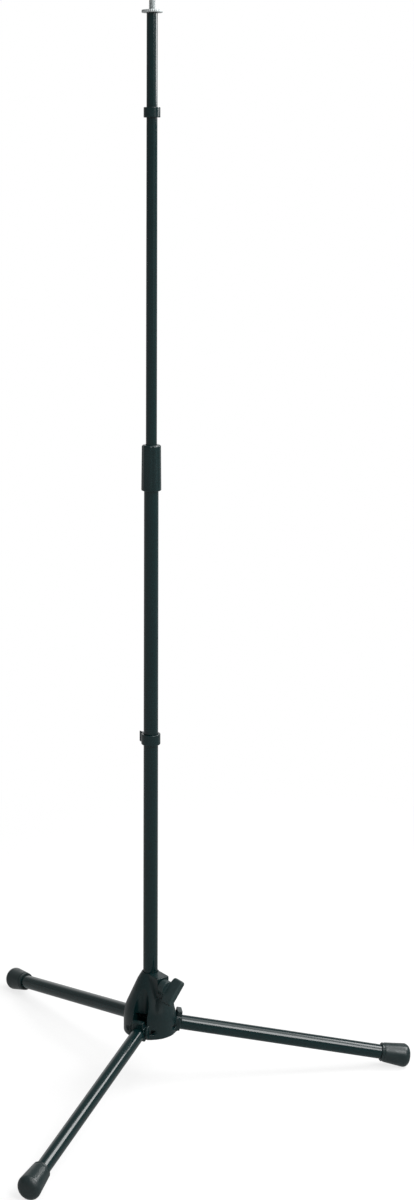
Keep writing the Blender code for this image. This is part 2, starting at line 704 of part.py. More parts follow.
def build_clutch():
    """The height clutch: a threaded body on the lower tube, a split collet, and a turning sleeve."""
    bm = bmesh.new()
    points = [bm.verts.new((radius, 0, height)) for radius, height in sleeve_outline()]
    section = bm.faces.new(points)
    edges = list(section.edges)
    bmesh.ops.delete(bm, geom=[section], context="FACES_ONLY")
    bmesh.ops.spin(
        bm,
        geom=edges,
        cent=(0, 0, 0),
        axis=(0, 0, 1),
        angle=2 * math.pi,
        steps=SLEEVE_FLUTES * FLUTE_STEPS,
        use_merge=True,
    )
    bmesh.ops.remove_doubles(bm, verts=bm.verts, dist=MERGE)
    bmesh.ops.recalc_face_normals(bm, faces=bm.faces)
    grip = CLUTCH_BODY_RADIUS + FIT + SLEEVE_FLUTE_DEPTH
    for vert in bm.verts:
        reach = math.hypot(vert.co.x, vert.co.y)
        if reach > grip:
            wave = 0.5 - 0.5 * math.cos(SLEEVE_FLUTES * math.atan2(vert.co.y, vert.co.x))
            share = 1 - SLEEVE_FLUTE_DEPTH * wave / reach
            vert.co.x *= share
            vert.co.y *= share
    new_object("clutch_sleeve", bm, CLUTCH_FRAME, BLACK_PLASTIC)

    body = [
        (UPPER_TUBE_RADIUS + FIT, CLUTCH_SEAT),
        (CLUTCH_BODY_RADIUS, CLUTCH_SEAT),
        (CLUTCH_BODY_RADIUS, -CLUTCH_BODY_OVERLAP),
        (LOWER_TUBE_RADIUS + FIT, -CLUTCH_BODY_OVERLAP),
        (LOWER_TUBE_RADIUS + FIT, FIT),
        (UPPER_TUBE_RADIUS + FIT, FIT),
    ]
    turned("clutch_body", body, CLUTCH_FRAME, BLACK_PLASTIC, SMALL_STEPS)

    bottom = CLUTCH_SEAT + FIT
    top = bottom + COLLET_LENGTH
    collet_outline = [
        (UPPER_TUBE_RADIUS + FIT, top),
        (COLLET_TOP_RADIUS, top),
        (CLUTCH_BODY_RADIUS - FIT, CLUTCH_SEAT + COLLET_BASE),
        (CLUTCH_BODY_RADIUS - FIT, bottom),
        (UPPER_TUBE_RADIUS + FIT, bottom),
    ]
    collet = turned("clutch_collet", collet_outline, CLUTCH_FRAME, WHITE_NYLON, SMALL_STEPS)
    slit = box(
        (0, -COLLET_SLIT / 2, bottom - COLLET_SLIT),
        (2 * CLUTCH_BODY_RADIUS, COLLET_SLIT / 2, top + COLLET_SLIT),
    )
    cut(collet, new_object("collet_slit", slit, CLUTCH_FRAME))


def ring_sector(inner, outer, start, angle, steps):
    """Part of a ring wall of the clips' height, with broken outer edges and capped ends."""
    half = CLIP_HEIGHT / 2
    section = [
        (inner, half),
        (outer - CLIP_EDGE, half),
        (outer, half - CLIP_EDGE),
        (outer, CLIP_EDGE - half),
        (outer - CLIP_EDGE, -half),
        (inner, -half),
    ]
    bm = bmesh.new()
    face = bm.faces.new([bm.verts.new((radius, 0, height)) for radius, height in section])
    bmesh.ops.rotate(bm, verts=bm.verts, cent=(0, 0, 0), matrix=Matrix.Rotation(start, 3, "Z"))
    bmesh.ops.spin(bm, geom=[face], cent=(0, 0, 0), axis=(0, 0, 1), angle=angle, steps=steps)
    bmesh.ops.recalc_face_normals(bm, faces=bm.faces)
    return bm


def build_clip(name, tube_radius, clip_radius, height, azimuth):
    """A cable clip: a springy ring open at its mouth, with a hook for the cable at its back."""
    mouth = azimuth + CLIP_MOUTH_TURN
    ring = ring_sector(
        tube_radius + FIT,
        clip_radius,
        mouth + CLIP_MOUTH_ANGLE / 2,
        2 * math.pi - CLIP_MOUTH_ANGLE,
        RING_STEPS,
    )
    clip = new_object(name, ring, HUB, BLACK_PLASTIC, location=(0, 0, height))
    stand_off = clip_radius + HOOK_BORE_RADIUS + HOOK_STANDOFF
    hook = ring_sector(
        HOOK_BORE_RADIUS,
        HOOK_BORE_RADIUS + HOOK_WALL,
        azimuth + HOOK_MOUTH_ANGLE / 2,
        2 * math.pi - HOOK_MOUTH_ANGLE,
        HOOK_STEPS,
    )
    place = (stand_off * math.cos(azimuth), stand_off * math.sin(azimuth), height)
    join(clip, new_object(name + "_hook", hook, HUB, location=place))
    keep_out = rod(tube_radius + FIT, 2 * CLIP_HEIGHT, "Z", height - CLIP_HEIGHT)
    cut(clip, new_object(name + "_tube", keep_out, HUB))


def settle(collection):
    """Gives each piece its finished mesh, shaded smooth with sharp edges where it turns hard."""
    bpy.context.view_layer.update()
    graph = bpy.context.evaluated_depsgraph_get()
    pieces = [obj for obj in collection.objects if obj.type == "MESH"]
    finished = {obj: bpy.data.meshes.new_from_object(obj.evaluated_get(graph)) for obj in pieces}
    for obj, mesh in finished.items():
        obj.modifiers.clear()
        obj.data = mesh
        mesh.name = obj.name
        mesh.shade_smooth()
        mesh.set_sharp_from_angle(angle=SMOOTH_ANGLE)


build_base_casting()
build_clamp_plate()
build_wing_bolt()
for LEG, PIVOT_FRAME in PIVOTS.items():
    build_leg(LEG, PIVOT_FRAME)
build_mast()
build_clutch()
build_top()
build_clip("lower_clip", LOWER_TUBE_RADIUS, LOWER_CLIP_RADIUS, LOWER_CLIP_HEIGHT, LOWER_CLIP_AZIMUTH)
build_clip(
    "upper_clip",
    UPPER_TUBE_RADIUS,
    UPPER_CLIP_RADIUS,
    UPPER_TUBE_TOP - UPPER_CLIP_BELOW_TOP,
    UPPER_CLIP_AZIMUTH,
)
settle(STAND)
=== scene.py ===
"""Microphone stand: the finished surface of every piece, in a plain white studio.

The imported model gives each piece's place. Everything is in metres, with +Z up.
"""

import math

import bmesh
import bpy
from mathutils import Matrix, Vector


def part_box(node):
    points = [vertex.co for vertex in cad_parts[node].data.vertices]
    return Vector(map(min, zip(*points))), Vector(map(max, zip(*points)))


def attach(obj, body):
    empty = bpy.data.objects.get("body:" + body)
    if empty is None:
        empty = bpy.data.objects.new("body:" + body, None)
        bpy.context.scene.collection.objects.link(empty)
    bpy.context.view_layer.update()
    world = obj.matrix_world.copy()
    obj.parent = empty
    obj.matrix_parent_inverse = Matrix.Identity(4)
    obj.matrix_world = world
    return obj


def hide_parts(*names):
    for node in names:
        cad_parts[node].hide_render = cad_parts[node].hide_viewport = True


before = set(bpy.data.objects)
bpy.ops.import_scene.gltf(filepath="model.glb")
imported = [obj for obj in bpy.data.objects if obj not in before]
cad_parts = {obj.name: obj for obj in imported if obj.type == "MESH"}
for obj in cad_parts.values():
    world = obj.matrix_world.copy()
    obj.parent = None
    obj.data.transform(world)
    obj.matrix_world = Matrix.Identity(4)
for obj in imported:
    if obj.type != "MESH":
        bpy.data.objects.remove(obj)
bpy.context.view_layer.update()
scene = bpy.context.scene

# Lower tube
# A straight steel tube, 21 mm across with a 1.5 mm wall, cut square and deburred at both ends.
# It is coated with a smooth near-black powder that is baked on, and shows a very fine orange peel.
TUBE_STEPS = 96
RIM_ROUND = 0.0003
LOWER_WALL = 0.0015
MERGE = 0.000005
SMOOTH_ANGLE = math.radians(38)
LONG_STRETCH = 0.008
LONG_STRETCH_END = 0.0012
NEAR_BLACK = (0.0012, 0.0115, 0.0125)
GRIT_FINENESS = 5.0
PATCH_LEVELS = (0.42, 0.62)
SPECK_LEVELS = (0.62, 0.72)
SPECKS_PER_METRE = 900.0
SPECK_DUST = 3.0
SIDE_DUST = 0.25


def held(outline):
    """The outline with a point near both ends of its long stretches, to shade them straight."""
    corners = [Vector(point) for point in outline]
    points = []
    for start, end in zip(corners, corners[1:]):
        points.append(tuple(start))
        if (end - start).length > LONG_STRETCH:
            step = (end - start).normalized() * LONG_STRETCH_END
            points += [tuple(start + step), tuple(end - step)]
    return points + [tuple(corners[-1])]


def turned(outline, steps=TUBE_STEPS):
    """A shape turned about Z from (radius, height) points, which run down its outer side."""
    bm = bmesh.new()
    points = [bm.verts.new((radius, 0, height)) for radius, height in outline]
    line = [bm.edges.new(pair) for pair in zip(points, points[1:])]
    if outline[0][0] > 0:
        line.append(bm.edges.new((points[-1], points[0])))
    bmesh.ops.spin(
        bm,
        geom=points + line,
        cent=(0, 0, 0),
        axis=(0, 0, 1),
        angle=2 * math.pi,
        steps=steps,
        use_merge=True,
    )
    bmesh.ops.remove_doubles(bm, verts=bm.verts, dist=MERGE)
    bmesh.ops.recalc_face_normals(bm, faces=bm.faces)
    return bm


def rounded(bm, width, segments=3, angle=SMOOTH_ANGLE):
    """The shape with every edge sharper than this angle rounded."""
    edges = [edge for edge in bm.edges if edge.is_manifold and edge.calc_face_angle() > angle]
    bmesh.ops.bevel(
        bm, geom=edges, offset=width, affect="EDGES", segments=segments, profile=0.5, material=-1
    )
    return bm


def finished(name, bm, material, slot, body, *nodes, crisp=True):
    """Makes a shape the visible piece that stands for these nodes and moves with this body.

    A crisp piece is shaded with its sharp edges, and the others as one soft surface.
    """
    mesh = bpy.data.meshes.new(name)
    bm.to_mesh(mesh)
    bm.free()
    mesh.materials.append(material)
    mesh.shade_smooth()
    if crisp:
        mesh.set_sharp_from_angle(angle=SMOOTH_ANGLE)
    piece = bpy.data.objects.new(name, mesh)
    scene.collection.objects.link(piece)
    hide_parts(*nodes)
    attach(piece, body)
    return piece


def new_group(name, inputs, outputs):
    """A shader group with named float or colour inputs, and its two end nodes."""
    group = bpy.data.node_groups.new(name, "ShaderNodeTree")
    for label, kind, value in inputs:
        socket = group.interface.new_socket(label, in_out="INPUT", socket_type=kind)
        socket.default_value = value
    for label, kind in outputs:
        group.interface.new_socket(label, in_out="OUTPUT", socket_type=kind)
    return group, group.nodes.new("NodeGroupInput"), group.nodes.new("NodeGroupOutput")


def noise(tree, source, scale, detail, roughness):
    """A noise texture on the piece's own coordinates, with its scale from a socket or a number."""
    node = tree.nodes.new("ShaderNodeTexNoise")
    node.inputs["Detail"].default_value = detail
    node.inputs["Roughness"].default_value = roughness
    tree.links.new(source, node.inputs["Vector"])
    if isinstance(scale, bpy.types.NodeSocket):
        tree.links.new(scale, node.inputs["Scale"])
    else:
        node.inputs["Scale"].default_value = scale
    return node.outputs["Fac"]


def arithmetic(tree, operation, first, second):
    """A math node on two sockets or numbers."""
    node = tree.nodes.new("ShaderNodeMath")
    node.operation = operation
    for socket, value in zip(node.inputs, (first, second)):
        if isinstance(value, bpy.types.NodeSocket):
            tree.links.new(value, socket)
        else:
            socket.default_value = value
    return node.outputs["Value"]


def spread(tree, value, low, high, to_low=0.0, to_high=1.0):
    """A map range node: values from low to high become to_low to to_high."""
    node = tree.nodes.new("ShaderNodeMapRange")
    limits = {"From Min": low, "From Max": high, "To Min": to_low, "To Max": to_high}
    tree.links.new(value, node.inputs["Value"])
    for label, limit in limits.items():
        if isinstance(limit, bpy.types.NodeSocket):
            tree.links.new(limit, node.inputs[label])
        else:
            node.inputs[label].default_value = limit
    return node.outputs["Result"]


def mixed(tree, amount, first, second):
    """A colour mix node between two sockets or colours."""
    node = tree.nodes.new("ShaderNodeMix")
    node.data_type = "RGBA"
    tree.links.new(amount, node.inputs["Factor"])
    for socket, value in ((node.inputs["A"], first), (node.inputs["B"], second)):
        if isinstance(value, bpy.types.NodeSocket):
            tree.links.new(value, socket)
        else:
            socket.default_value = (*value, 1)
    return node.outputs["Result"]


def make_surface_relief():
    """Fine unevenness: cells of one size, broken up by finer noise, as a normal."""
    inputs = [
        ("Cells per metre", "NodeSocketFloat", 600.0),
        ("Depth", "NodeSocketFloat", 0.00002),
        ("Grit", "NodeSocketFloat", 0.3),
    ]
    group, start, end = new_group("surface_relief", inputs, [("Normal", "NodeSocketVector")])
    place = group.nodes.new("ShaderNodeTexCoord").outputs["Object"]
    cells = noise(group, place, start.outputs["Cells per metre"], detail=1.0, roughness=0.4)
    finer = arithmetic(group, "MULTIPLY", start.outputs["Cells per metre"], GRIT_FINENESS)
    grit = noise(group, place, finer, detail=2.0, roughness=0.6)
    grit = arithmetic(group, "MULTIPLY", grit, start.outputs["Grit"])
    height = arithmetic(group, "ADD", cells, grit)
    bump = group.nodes.new("ShaderNodeBump")
    bump.inputs["Strength"].default_value = 1.0
    group.links.new(start.outputs["Depth"], bump.inputs["Distance"])
    group.links.new(height, bump.inputs["Height"])
    group.links.new(bump.outputs["Normal"], end.inputs["Normal"])
    return group


def make_handling():
    """Patches that are duller and lighter from handling, and a little dust on what faces up."""
    inputs = [
        ("Color", "NodeSocketColor", (0.01, 0.01, 0.01, 1)),
        ("Dust Color", "NodeSocketColor", (0.3, 0.3, 0.29, 1)),
        ("Roughness", "NodeSocketFloat", 0.3),
        ("Patch Roughness", "NodeSocketFloat", 0.4),
        ("Patches per metre", "NodeSocketFloat", 30.0),
        ("Dust", "NodeSocketFloat", 0.02),
    ]
    outputs = [("Color", "NodeSocketColor"), ("Roughness", "NodeSocketFloat")]
    group, start, end = new_group("handling_and_dust", inputs, outputs)
    coordinates = group.nodes.new("ShaderNodeTexCoord")
    place = coordinates.outputs["Object"]
    broad = noise(group, place, start.outputs["Patches per metre"], detail=3.0, roughness=0.6)
    patches = spread(group, broad, *PATCH_LEVELS)
    fine = noise(group, place, SPECKS_PER_METRE, detail=2.0, roughness=0.7)
    specks = spread(group, fine, *SPECK_LEVELS)
    facing = group.nodes.new("ShaderNodeSeparateXYZ")
    group.links.new(coordinates.outputs["Normal"], facing.inputs["Vector"])
    upward = spread(group, facing.outputs["Z"], 0.0, 1.0, SIDE_DUST, 1.0)
    film = arithmetic(group, "ADD", arithmetic(group, "MULTIPLY", specks, SPECK_DUST), patches)
    dust = arithmetic(group, "MULTIPLY", film, upward)
    dust = arithmetic(group, "MULTIPLY", dust, start.outputs["Dust"])
    colour = mixed(group, dust, start.outputs["Color"], start.outputs["Dust Color"])
    rough = spread(
        group, patches, 0.0, 1.0, start.outputs["Roughness"], start.outputs["Patch Roughness"]
    )
    group.links.new(colour, end.inputs["Color"])
    group.links.new(rough, end.inputs["Roughness"])
    return group


SURFACE_RELIEF = make_surface_relief()
HANDLING = make_handling()


def new_finish(name, metallic=0.0, ior=1.45):
    """A new material's node tree and shader."""
    material = bpy.data.materials.new(name)
    material.use_nodes = True
    shader = material.node_tree.nodes["Principled BSDF"]
    shader.inputs["Metallic"].default_value = metallic
    shader.inputs["IOR"].default_value = ior
    return material, material.node_tree, shader


def place_group(tree, group, **values):
    """A group node with these inputs, whose names have underscores for spaces."""
    node = tree.nodes.new("ShaderNodeGroup")
    node.node_tree = group
    for label, value in values.items():
        node.inputs[label.replace("_", " ")].default_value = value
    return node


def handled_finish(name, colour, roughness, patch_roughness, patches, dust, cells, depth, grit):
    """A dark coat or moulding with uneven gloss, a trace of dust and a fine relief."""
    material, tree, shader = new_finish(name)
    handling = place_group(
        tree,
        HANDLING,
        Color=(*colour, 1),
        Roughness=roughness,
        Patch_Roughness=patch_roughness,
        Patches_per_metre=patches,
        Dust=dust,
    )
    relief = place_group(tree, SURFACE_RELIEF, Cells_per_metre=cells, Depth=depth, Grit=grit)
    tree.links.new(handling.outputs["Color"], shader.inputs["Base Color"])
    tree.links.new(handling.outputs["Roughness"], shader.inputs["Roughness"])
    tree.links.new(relief.outputs["Normal"], shader.inputs["Normal"])
    return material


POWDER_COAT = handled_finish(
    "powder_coat_near_black",
    colour=NEAR_BLACK,
    roughness=0.11,
    patch_roughness=0.15,
    patches=14.0,
    dust=0.004,
    cells=500.0,
    depth=0.000008,
    grit=0.15,
)


def tube(name, node, wall, material, slot, body):
    """An upright tube with softened rims, the size of its node."""
    low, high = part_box(node)
    radius = (high.x - low.x) / 2
    outline = [(radius - wall, high.z), (radius, high.z), (radius, low.z), (radius - wall, low.z)]
    bm = rounded(turned(held(outline)), RIM_ROUND, 2)
    bmesh.ops.translate(bm, verts=bm.verts, vec=((low.x + high.x) / 2, (low.y + high.y) / 2, 0))
    return finished(name, bm, material, slot, body, node)


tube("mast_lower_tube", "lower_tube", LOWER_WALL, POWDER_COAT, "powder_coat", "mast")
mast_low, mast_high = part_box("lower_tube")
MAST = Vector(((mast_low.x + mast_high.x) / 2, (mast_low.y + mast_high.y) / 2, 0))
LOWER_RADIUS = (mast_high.x - mast_low.x) / 2

# Base casting
# A bell-shaped die casting with a collar for the mast, a clamp lug and three pairs of ears.
# Its corners run into each other in soft fillets, and it is painted satin black.
PIVOT_HEIGHT = 0.0786
HUB = Matrix.Translation(MAST + Vector((0, 0, PIVOT_HEIGHT)))
PIVOT_RADIUS = 0.0325
FIT = 0.0003
LEG_ANGLES = {"a": 0.0, "b": math.radians(-120), "c": math.radians(120)}
KNUCKLE_WIDTH = 0.0200
SLOT_HALF = KNUCKLE_WIDTH / 2 + FIT
EAR_WALL = 0.0040
EAR_HALF = SLOT_HALF + EAR_WALL
EAR_RADIUS = 0.0108
STOP_SWING = 0.0208
SLOT_BACK = 0.0142
SLOT_WALL = 0.0034
PIN_RADIUS = 0.0030
LEG_RADIUS = 0.00975
LUG_ANGLE = math.radians(-60)
LUG_REACH = 0.0315
LUG_WIDTH = 0.0200
LUG_TOP = 0.0132
BOLT_HEIGHT = 0.0609
BOLT_RADIUS = 0.0040
CAST_WALL = 0.0042
BELL_STEPS = 144
BELL_OUTER = [
    (0.0189, 0.0624),
    (0.0340, 0.0297),
    (0.0359, 0.0250),
    (0.0372, 0.0205),
    (0.0381, 0.0160),
    (0.0385, 0.0110),
]
SKIRT_BOTTOM = -0.0104
COLLAR_TOP = 0.0734
COLLAR_RADIUS = 0.0122
POCKET_TOP = 0.0480
POCKET_TOP_RADIUS = 0.0215
PLATE_RECESS_RADIUS = 0.0281
PLATE_RECESS_TOP = -0.0050
LUG_FOOT_DROP = 0.0140
STOP_ROOM = 0.0006
CHANNEL_ROOM = 0.0010
MAST_HOLE_START = -0.03
MAST_HOLE_LENGTH = 0.12
BOLT_HOLE_LENGTH = 0.06
RECESS_CUT = 0.02
SLOT_CUT = 0.05
SLOT_WALL_REACH = 0.08
CHANNEL_STEPS = 128
MELT_FACTOR = 0.5
CAST_VOXEL = 0.00062
CAST_PASSES = 14
CAST_KEPT = 0.55
OFF_GRID = Matrix.Rotation(0.23, 4, (0.6, 0.5, 0.62))


def rod(radius, length, start=0.0, steps=64):
    """A cylinder along Z."""
    bm = bmesh.new()
    bmesh.ops.create_cone(
        bm, cap_ends=True, segments=steps, radius1=radius, radius2=radius, depth=length
    )
    bmesh.ops.translate(bm, verts=bm.verts, vec=(0, 0, start + length / 2))
    return bm


def block(low, high):
    """A box between two corners."""
    low, high = Vector(low), Vector(high)
    bm = bmesh.new()
    bmesh.ops.create_cube(bm, size=1)
    bmesh.ops.scale(bm, verts=bm.verts, vec=high - low)
    bmesh.ops.translate(bm, verts=bm.verts, vec=(low + high) / 2)
    return bm


def moved(bm, matrix):
    """The shape after this transform."""
    bmesh.ops.transform(bm, matrix=matrix, verts=bm.verts)
    return bm


def combined(base, joined=(), removed=(), voxel=None, passes=0, kept=1.0):
    """The base with other shapes joined to it and then cut from it.

    With a voxel size, the result is remeshed evenly and smoothed, which melts its corners.
    Keeping only a share of its faces then leaves most of them where it curves.
    """

    def passing_object(bm):
        """An object with this shape, for as long as the modifiers need it."""
        mesh = bpy.data.meshes.new("working_shape")
        bm.to_mesh(mesh)
        bm.free()
        obj = bpy.data.objects.new("working_shape", mesh)
        scene.collection.objects.link(obj)
        return obj

    whole = passing_object(base)
    tools = []
    for operation, shapes in (("UNION", joined), ("DIFFERENCE", removed)):
        for shape in shapes:
            tools.append(passing_object(shape))
            boolean = whole.modifiers.new(operation, "BOOLEAN")
            boolean.operation = operation
            boolean.object = tools[-1]
    if voxel:
        remesh = whole.modifiers.new("even_mesh", "REMESH")
        remesh.mode = "VOXEL"
        remesh.voxel_size = voxel
        melt = whole.modifiers.new("soft_corners", "SMOOTH")
        melt.factor = MELT_FACTOR
        melt.iterations = passes
    if kept < 1:
        whole.modifiers.new("fewer_faces", "DECIMATE").ratio = kept
    bpy.context.view_layer.update()
    result = bmesh.new()
    result.from_object(whole, bpy.context.evaluated_depsgraph_get())
    for obj in (whole, *tools):
        bpy.data.objects.remove(obj, do_unlink=True)
    return result


def across(angle, x=0.0, z=0.0):
    """A frame at a place along a level line from the mast, whose Z axis lies across that line."""
    turn = Matrix.Rotation(angle, 4, "Z")
    return turn @ Matrix.Translation((x, 0, z)) @ Matrix.Rotation(-math.pi / 2, 4, "X")


def outward(angle, z=0.0):
    """A frame on the mast's axis whose Z axis points out along a level line."""
    turn = Matrix.Rotation(angle, 4, "Z")
    return turn @ Matrix.Translation((0, 0, z)) @ Matrix.Rotation(math.pi / 2, 4, "Y")


def clamp_lug():
    """The flat-topped lug round the wing bolt, which runs down into the bell."""
    lug = block((0, -LUG_WIDTH / 2, -LUG_TOP), (LUG_REACH, LUG_WIDTH / 2, LUG_TOP))
    foot = [vert for vert in lug.verts if vert.co.z < 0 and vert.co.x < LUG_REACH / 2]
    bmesh.ops.translate(lug, verts=foot, vec=(0, 0, -LUG_FOOT_DROP))
    return moved(lug, Matrix.Rotation(LUG_ANGLE, 4, "Z") @ Matrix.Translation((0, 0, BOLT_HEIGHT)))


def bell_pockets():
    """The hollows under the bell, left between the walls of the leg slots."""
    inner = [(radius - CAST_WALL, height) for radius, height in BELL_OUTER[1:]]
    hub_radius = LOWER_RADIUS + CAST_WALL
    outline = [
        (hub_radius, POCKET_TOP),
        (POCKET_TOP_RADIUS, POCKET_TOP),
        *inner,
        (BELL_OUTER[-1][0] - CAST_WALL, 2 * SKIRT_BOTTOM),
        (hub_radius, 2 * SKIRT_BOTTOM),
    ]
    walls = []
    for angle in LEG_ANGLES.values():
        side = SLOT_HALF + SLOT_WALL
        wall = block((0, -side, 3 * SKIRT_BOTTOM), (SLOT_WALL_REACH, side, 2 * POCKET_TOP))
        walls.append(moved(wall, Matrix.Rotation(angle, 4, "Z")))
    return combined(turned(outline), removed=walls)


def base_casting():
    """The casting, turned off the remesh's grid while it is formed, to get more even edges."""
    outline = [
        (0, COLLAR_TOP),
        (COLLAR_RADIUS, COLLAR_TOP),
        *BELL_OUTER,
        (BELL_OUTER[-1][0], SKIRT_BOTTOM),
        (0, SKIRT_BOTTOM),
    ]
    joined = [clamp_lug()]
    removed = [
        rod(LOWER_RADIUS + FIT, MAST_HOLE_LENGTH, MAST_HOLE_START, TUBE_STEPS),
        bell_pockets(),
        rod(PLATE_RECESS_RADIUS, RECESS_CUT, PLATE_RECESS_TOP - RECESS_CUT, TUBE_STEPS),
        moved(rod(BOLT_RADIUS + FIT, BOLT_HOLE_LENGTH), outward(LUG_ANGLE, BOLT_HEIGHT)),
    ]
    for angle in LEG_ANGLES.values():
        pivot = across(angle, PIVOT_RADIUS)
        upright = Matrix.Rotation(angle, 4, "Z") @ Matrix.Translation((PIVOT_RADIUS, 0, 0))
        joined.append(moved(rod(EAR_RADIUS, 2 * EAR_HALF, -EAR_HALF), pivot))
        slot = moved(rod(STOP_SWING + STOP_ROOM, 2 * SLOT_HALF, -SLOT_HALF, TUBE_STEPS), pivot)
        slot_back = block((-SLOT_CUT, -SLOT_CUT, -SLOT_CUT), (SLOT_BACK, SLOT_CUT, SLOT_CUT))
        removed.append(combined(slot, removed=[moved(slot_back, Matrix.Rotation(angle, 4, "Z"))]))
        channel = rod(LEG_RADIUS + CHANNEL_ROOM, COLLAR_TOP, steps=CHANNEL_STEPS)
        removed.append(moved(channel, upright))
        removed.append(moved(rod(PIN_RADIUS + FIT, 4 * EAR_HALF, -2 * EAR_HALF), pivot))
    for shape in joined + removed:
        moved(shape, OFF_GRID)
    bell = moved(turned(outline, BELL_STEPS), OFF_GRID)
    casting = combined(bell, joined, removed, CAST_VOXEL, CAST_PASSES, CAST_KEPT)
    return moved(casting, HUB @ OFF_GRID.inverted())


CAST_PAINT = handled_finish(
    "die_cast_black_paint",
    colour=NEAR_BLACK,
    roughness=0.27,
    patch_roughness=0.36,
    patches=24.0,
    dust=0.006,
    cells=1400.0,
    depth=0.00003,
    grit=0.5,
)
finished(
    "cast_base", base_casting(), CAST_PAINT, "die_cast_black", "base", "base_casting", crisp=False
)

# Clamp plate, its screw and the plug in the mast's lower end
# A dished, zinc-plated plate is drawn up under the leg knuckles by the clamped mast.
# A cross-recessed screw from below holds it to the plug in the tube's lower end.
PLATE_TOP = -0.0056
PLATE_BOTTOM = -0.0111
PLATE_RIM = -0.0093
PLATE_SLOPE_START = 0.02353
PLATE_LIP_SLOPE = 0.0012
PLATE_ROUND = 0.0004
SCREW_RADIUS = 0.0030
SCREW_HEAD_RADIUS = 0.0060
SCREW_HEAD_HEIGHT = 0.0040
SCREW_HEAD_SHAPE = [(1.0, 0.4), (0.85, 0.75), (0.5, 1.0)]
SCREW_DEPTH = 0.0150
SCREW_STEPS = 64
RECESS_SPAN = 0.55
RECESS_WIDTH = 0.0011
RECESS_DEPTH = 0.0022
STEEL_IOR = 1.5
NOISE_MIDDLE = (0.3, 0.7)
DARKER_TONE = 0.72
LINE_GLOSS = 0.06
LINE_DULLNESS = 0.08
LINE_STRENGTH = 0.5
LINE_DEPTH = 0.00002


def plated_finish(name, colour, metallic, roughness, patches, stretch):
    """Plated steel: fine turning lines round the piece's Z axis, and a slightly uneven tone."""
    material, tree, shader = new_finish(name, metallic, STEEL_IOR)
    place = tree.nodes.new("ShaderNodeTexCoord").outputs["Object"]
    mapping = tree.nodes.new("ShaderNodeMapping")
    mapping.inputs["Location"].default_value = (-MAST.x * stretch[0], -MAST.y * stretch[1], 0)
    mapping.inputs["Scale"].default_value = stretch
    tree.links.new(place, mapping.inputs["Vector"])
    lines = noise(tree, mapping.outputs["Vector"], 1.0, detail=3.0, roughness=0.6)
    tone = noise(tree, place, patches, detail=3.0, roughness=0.6)
    darker = tuple(DARKER_TONE * part for part in colour)
    uneven = mixed(tree, spread(tree, tone, *NOISE_MIDDLE), darker, colour)
    tree.links.new(uneven, shader.inputs["Base Color"])
    glossy, dull = roughness - LINE_GLOSS, roughness + LINE_DULLNESS
    tree.links.new(spread(tree, lines, *NOISE_MIDDLE, glossy, dull), shader.inputs["Roughness"])
    bump = tree.nodes.new("ShaderNodeBump")
    bump.inputs["Strength"].default_value = LINE_STRENGTH
    bump.inputs["Distance"].default_value = LINE_DEPTH
    tree.links.new(lines, bump.inputs["Height"])
    tree.links.new(bump.outputs["Normal"], shader.inputs["Normal"])
    return material


PLATED_STEEL = plated_finish(
    "zinc_plated_steel",
    colour=(0.40, 0.42, 0.42),
    metallic=1.0,
    roughness=0.34,
    patches=60.0,
    stretch=(200, 200, 2500),
)


def refinished(material, *nodes):
    """Gives this finish to solids that stay as they were packed, because they are out of sight."""
    for node in nodes:
        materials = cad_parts[node].data.materials
        materials.clear()
        materials.append(material)


plate_rim_radius = PLATE_SLOPE_START + PLATE_TOP - PLATE_RIM
plate_outline = [
    (SCREW_RADIUS + FIT, PLATE_TOP),
    (PLATE_SLOPE_START, PLATE_TOP),
    (plate_rim_radius, PLATE_RIM),
    (plate_rim_radius - PLATE_LIP_SLOPE, PLATE_BOTTOM),
    (SCREW_RADIUS + FIT, PLATE_BOTTOM),
]
finished(
    "dished_clamp_plate",
    moved(rounded(turned(plate_outline), PLATE_ROUND), HUB),
    PLATED_STEEL,
    "plated_steel",
    "mast",
    "clamp_plate",
)

screw_top = PLATE_BOTTOM + SCREW_DEPTH
head_top = PLATE_BOTTOM - FIT
head_bottom = head_top - SCREW_HEAD_HEIGHT
screw_outline = [
    (0, screw_top),
    (SCREW_RADIUS, screw_top),
    (SCREW_RADIUS, head_top),
    (SCREW_HEAD_RADIUS, head_top),
]
for wide, deep in SCREW_HEAD_SHAPE:
    screw_outline.append((wide * SCREW_HEAD_RADIUS, head_top - deep * SCREW_HEAD_HEIGHT))
screw_outline.append((0, head_bottom))
recess_bars = []
for bar_turn in (0, math.pi / 2):
    bar = block(
        (-RECESS_SPAN * SCREW_HEAD_RADIUS, -RECESS_WIDTH / 2, 2 * head_bottom),
        (RECESS_SPAN * SCREW_HEAD_RADIUS, RECESS_WIDTH / 2, head_bottom + RECESS_DEPTH),
    )
    recess_bars.append(moved(bar, Matrix.Rotation(bar_turn, 4, "Z")))
screw = combined(turned(screw_outline, SCREW_STEPS), removed=recess_bars)
finished(
    "plate_screw", moved(screw, HUB), PLATED_STEEL, "plated_steel", "mast", "clamp_plate_screw"
)
refinished(PLATED_STEEL, "mast_end_plug", "top_plug")

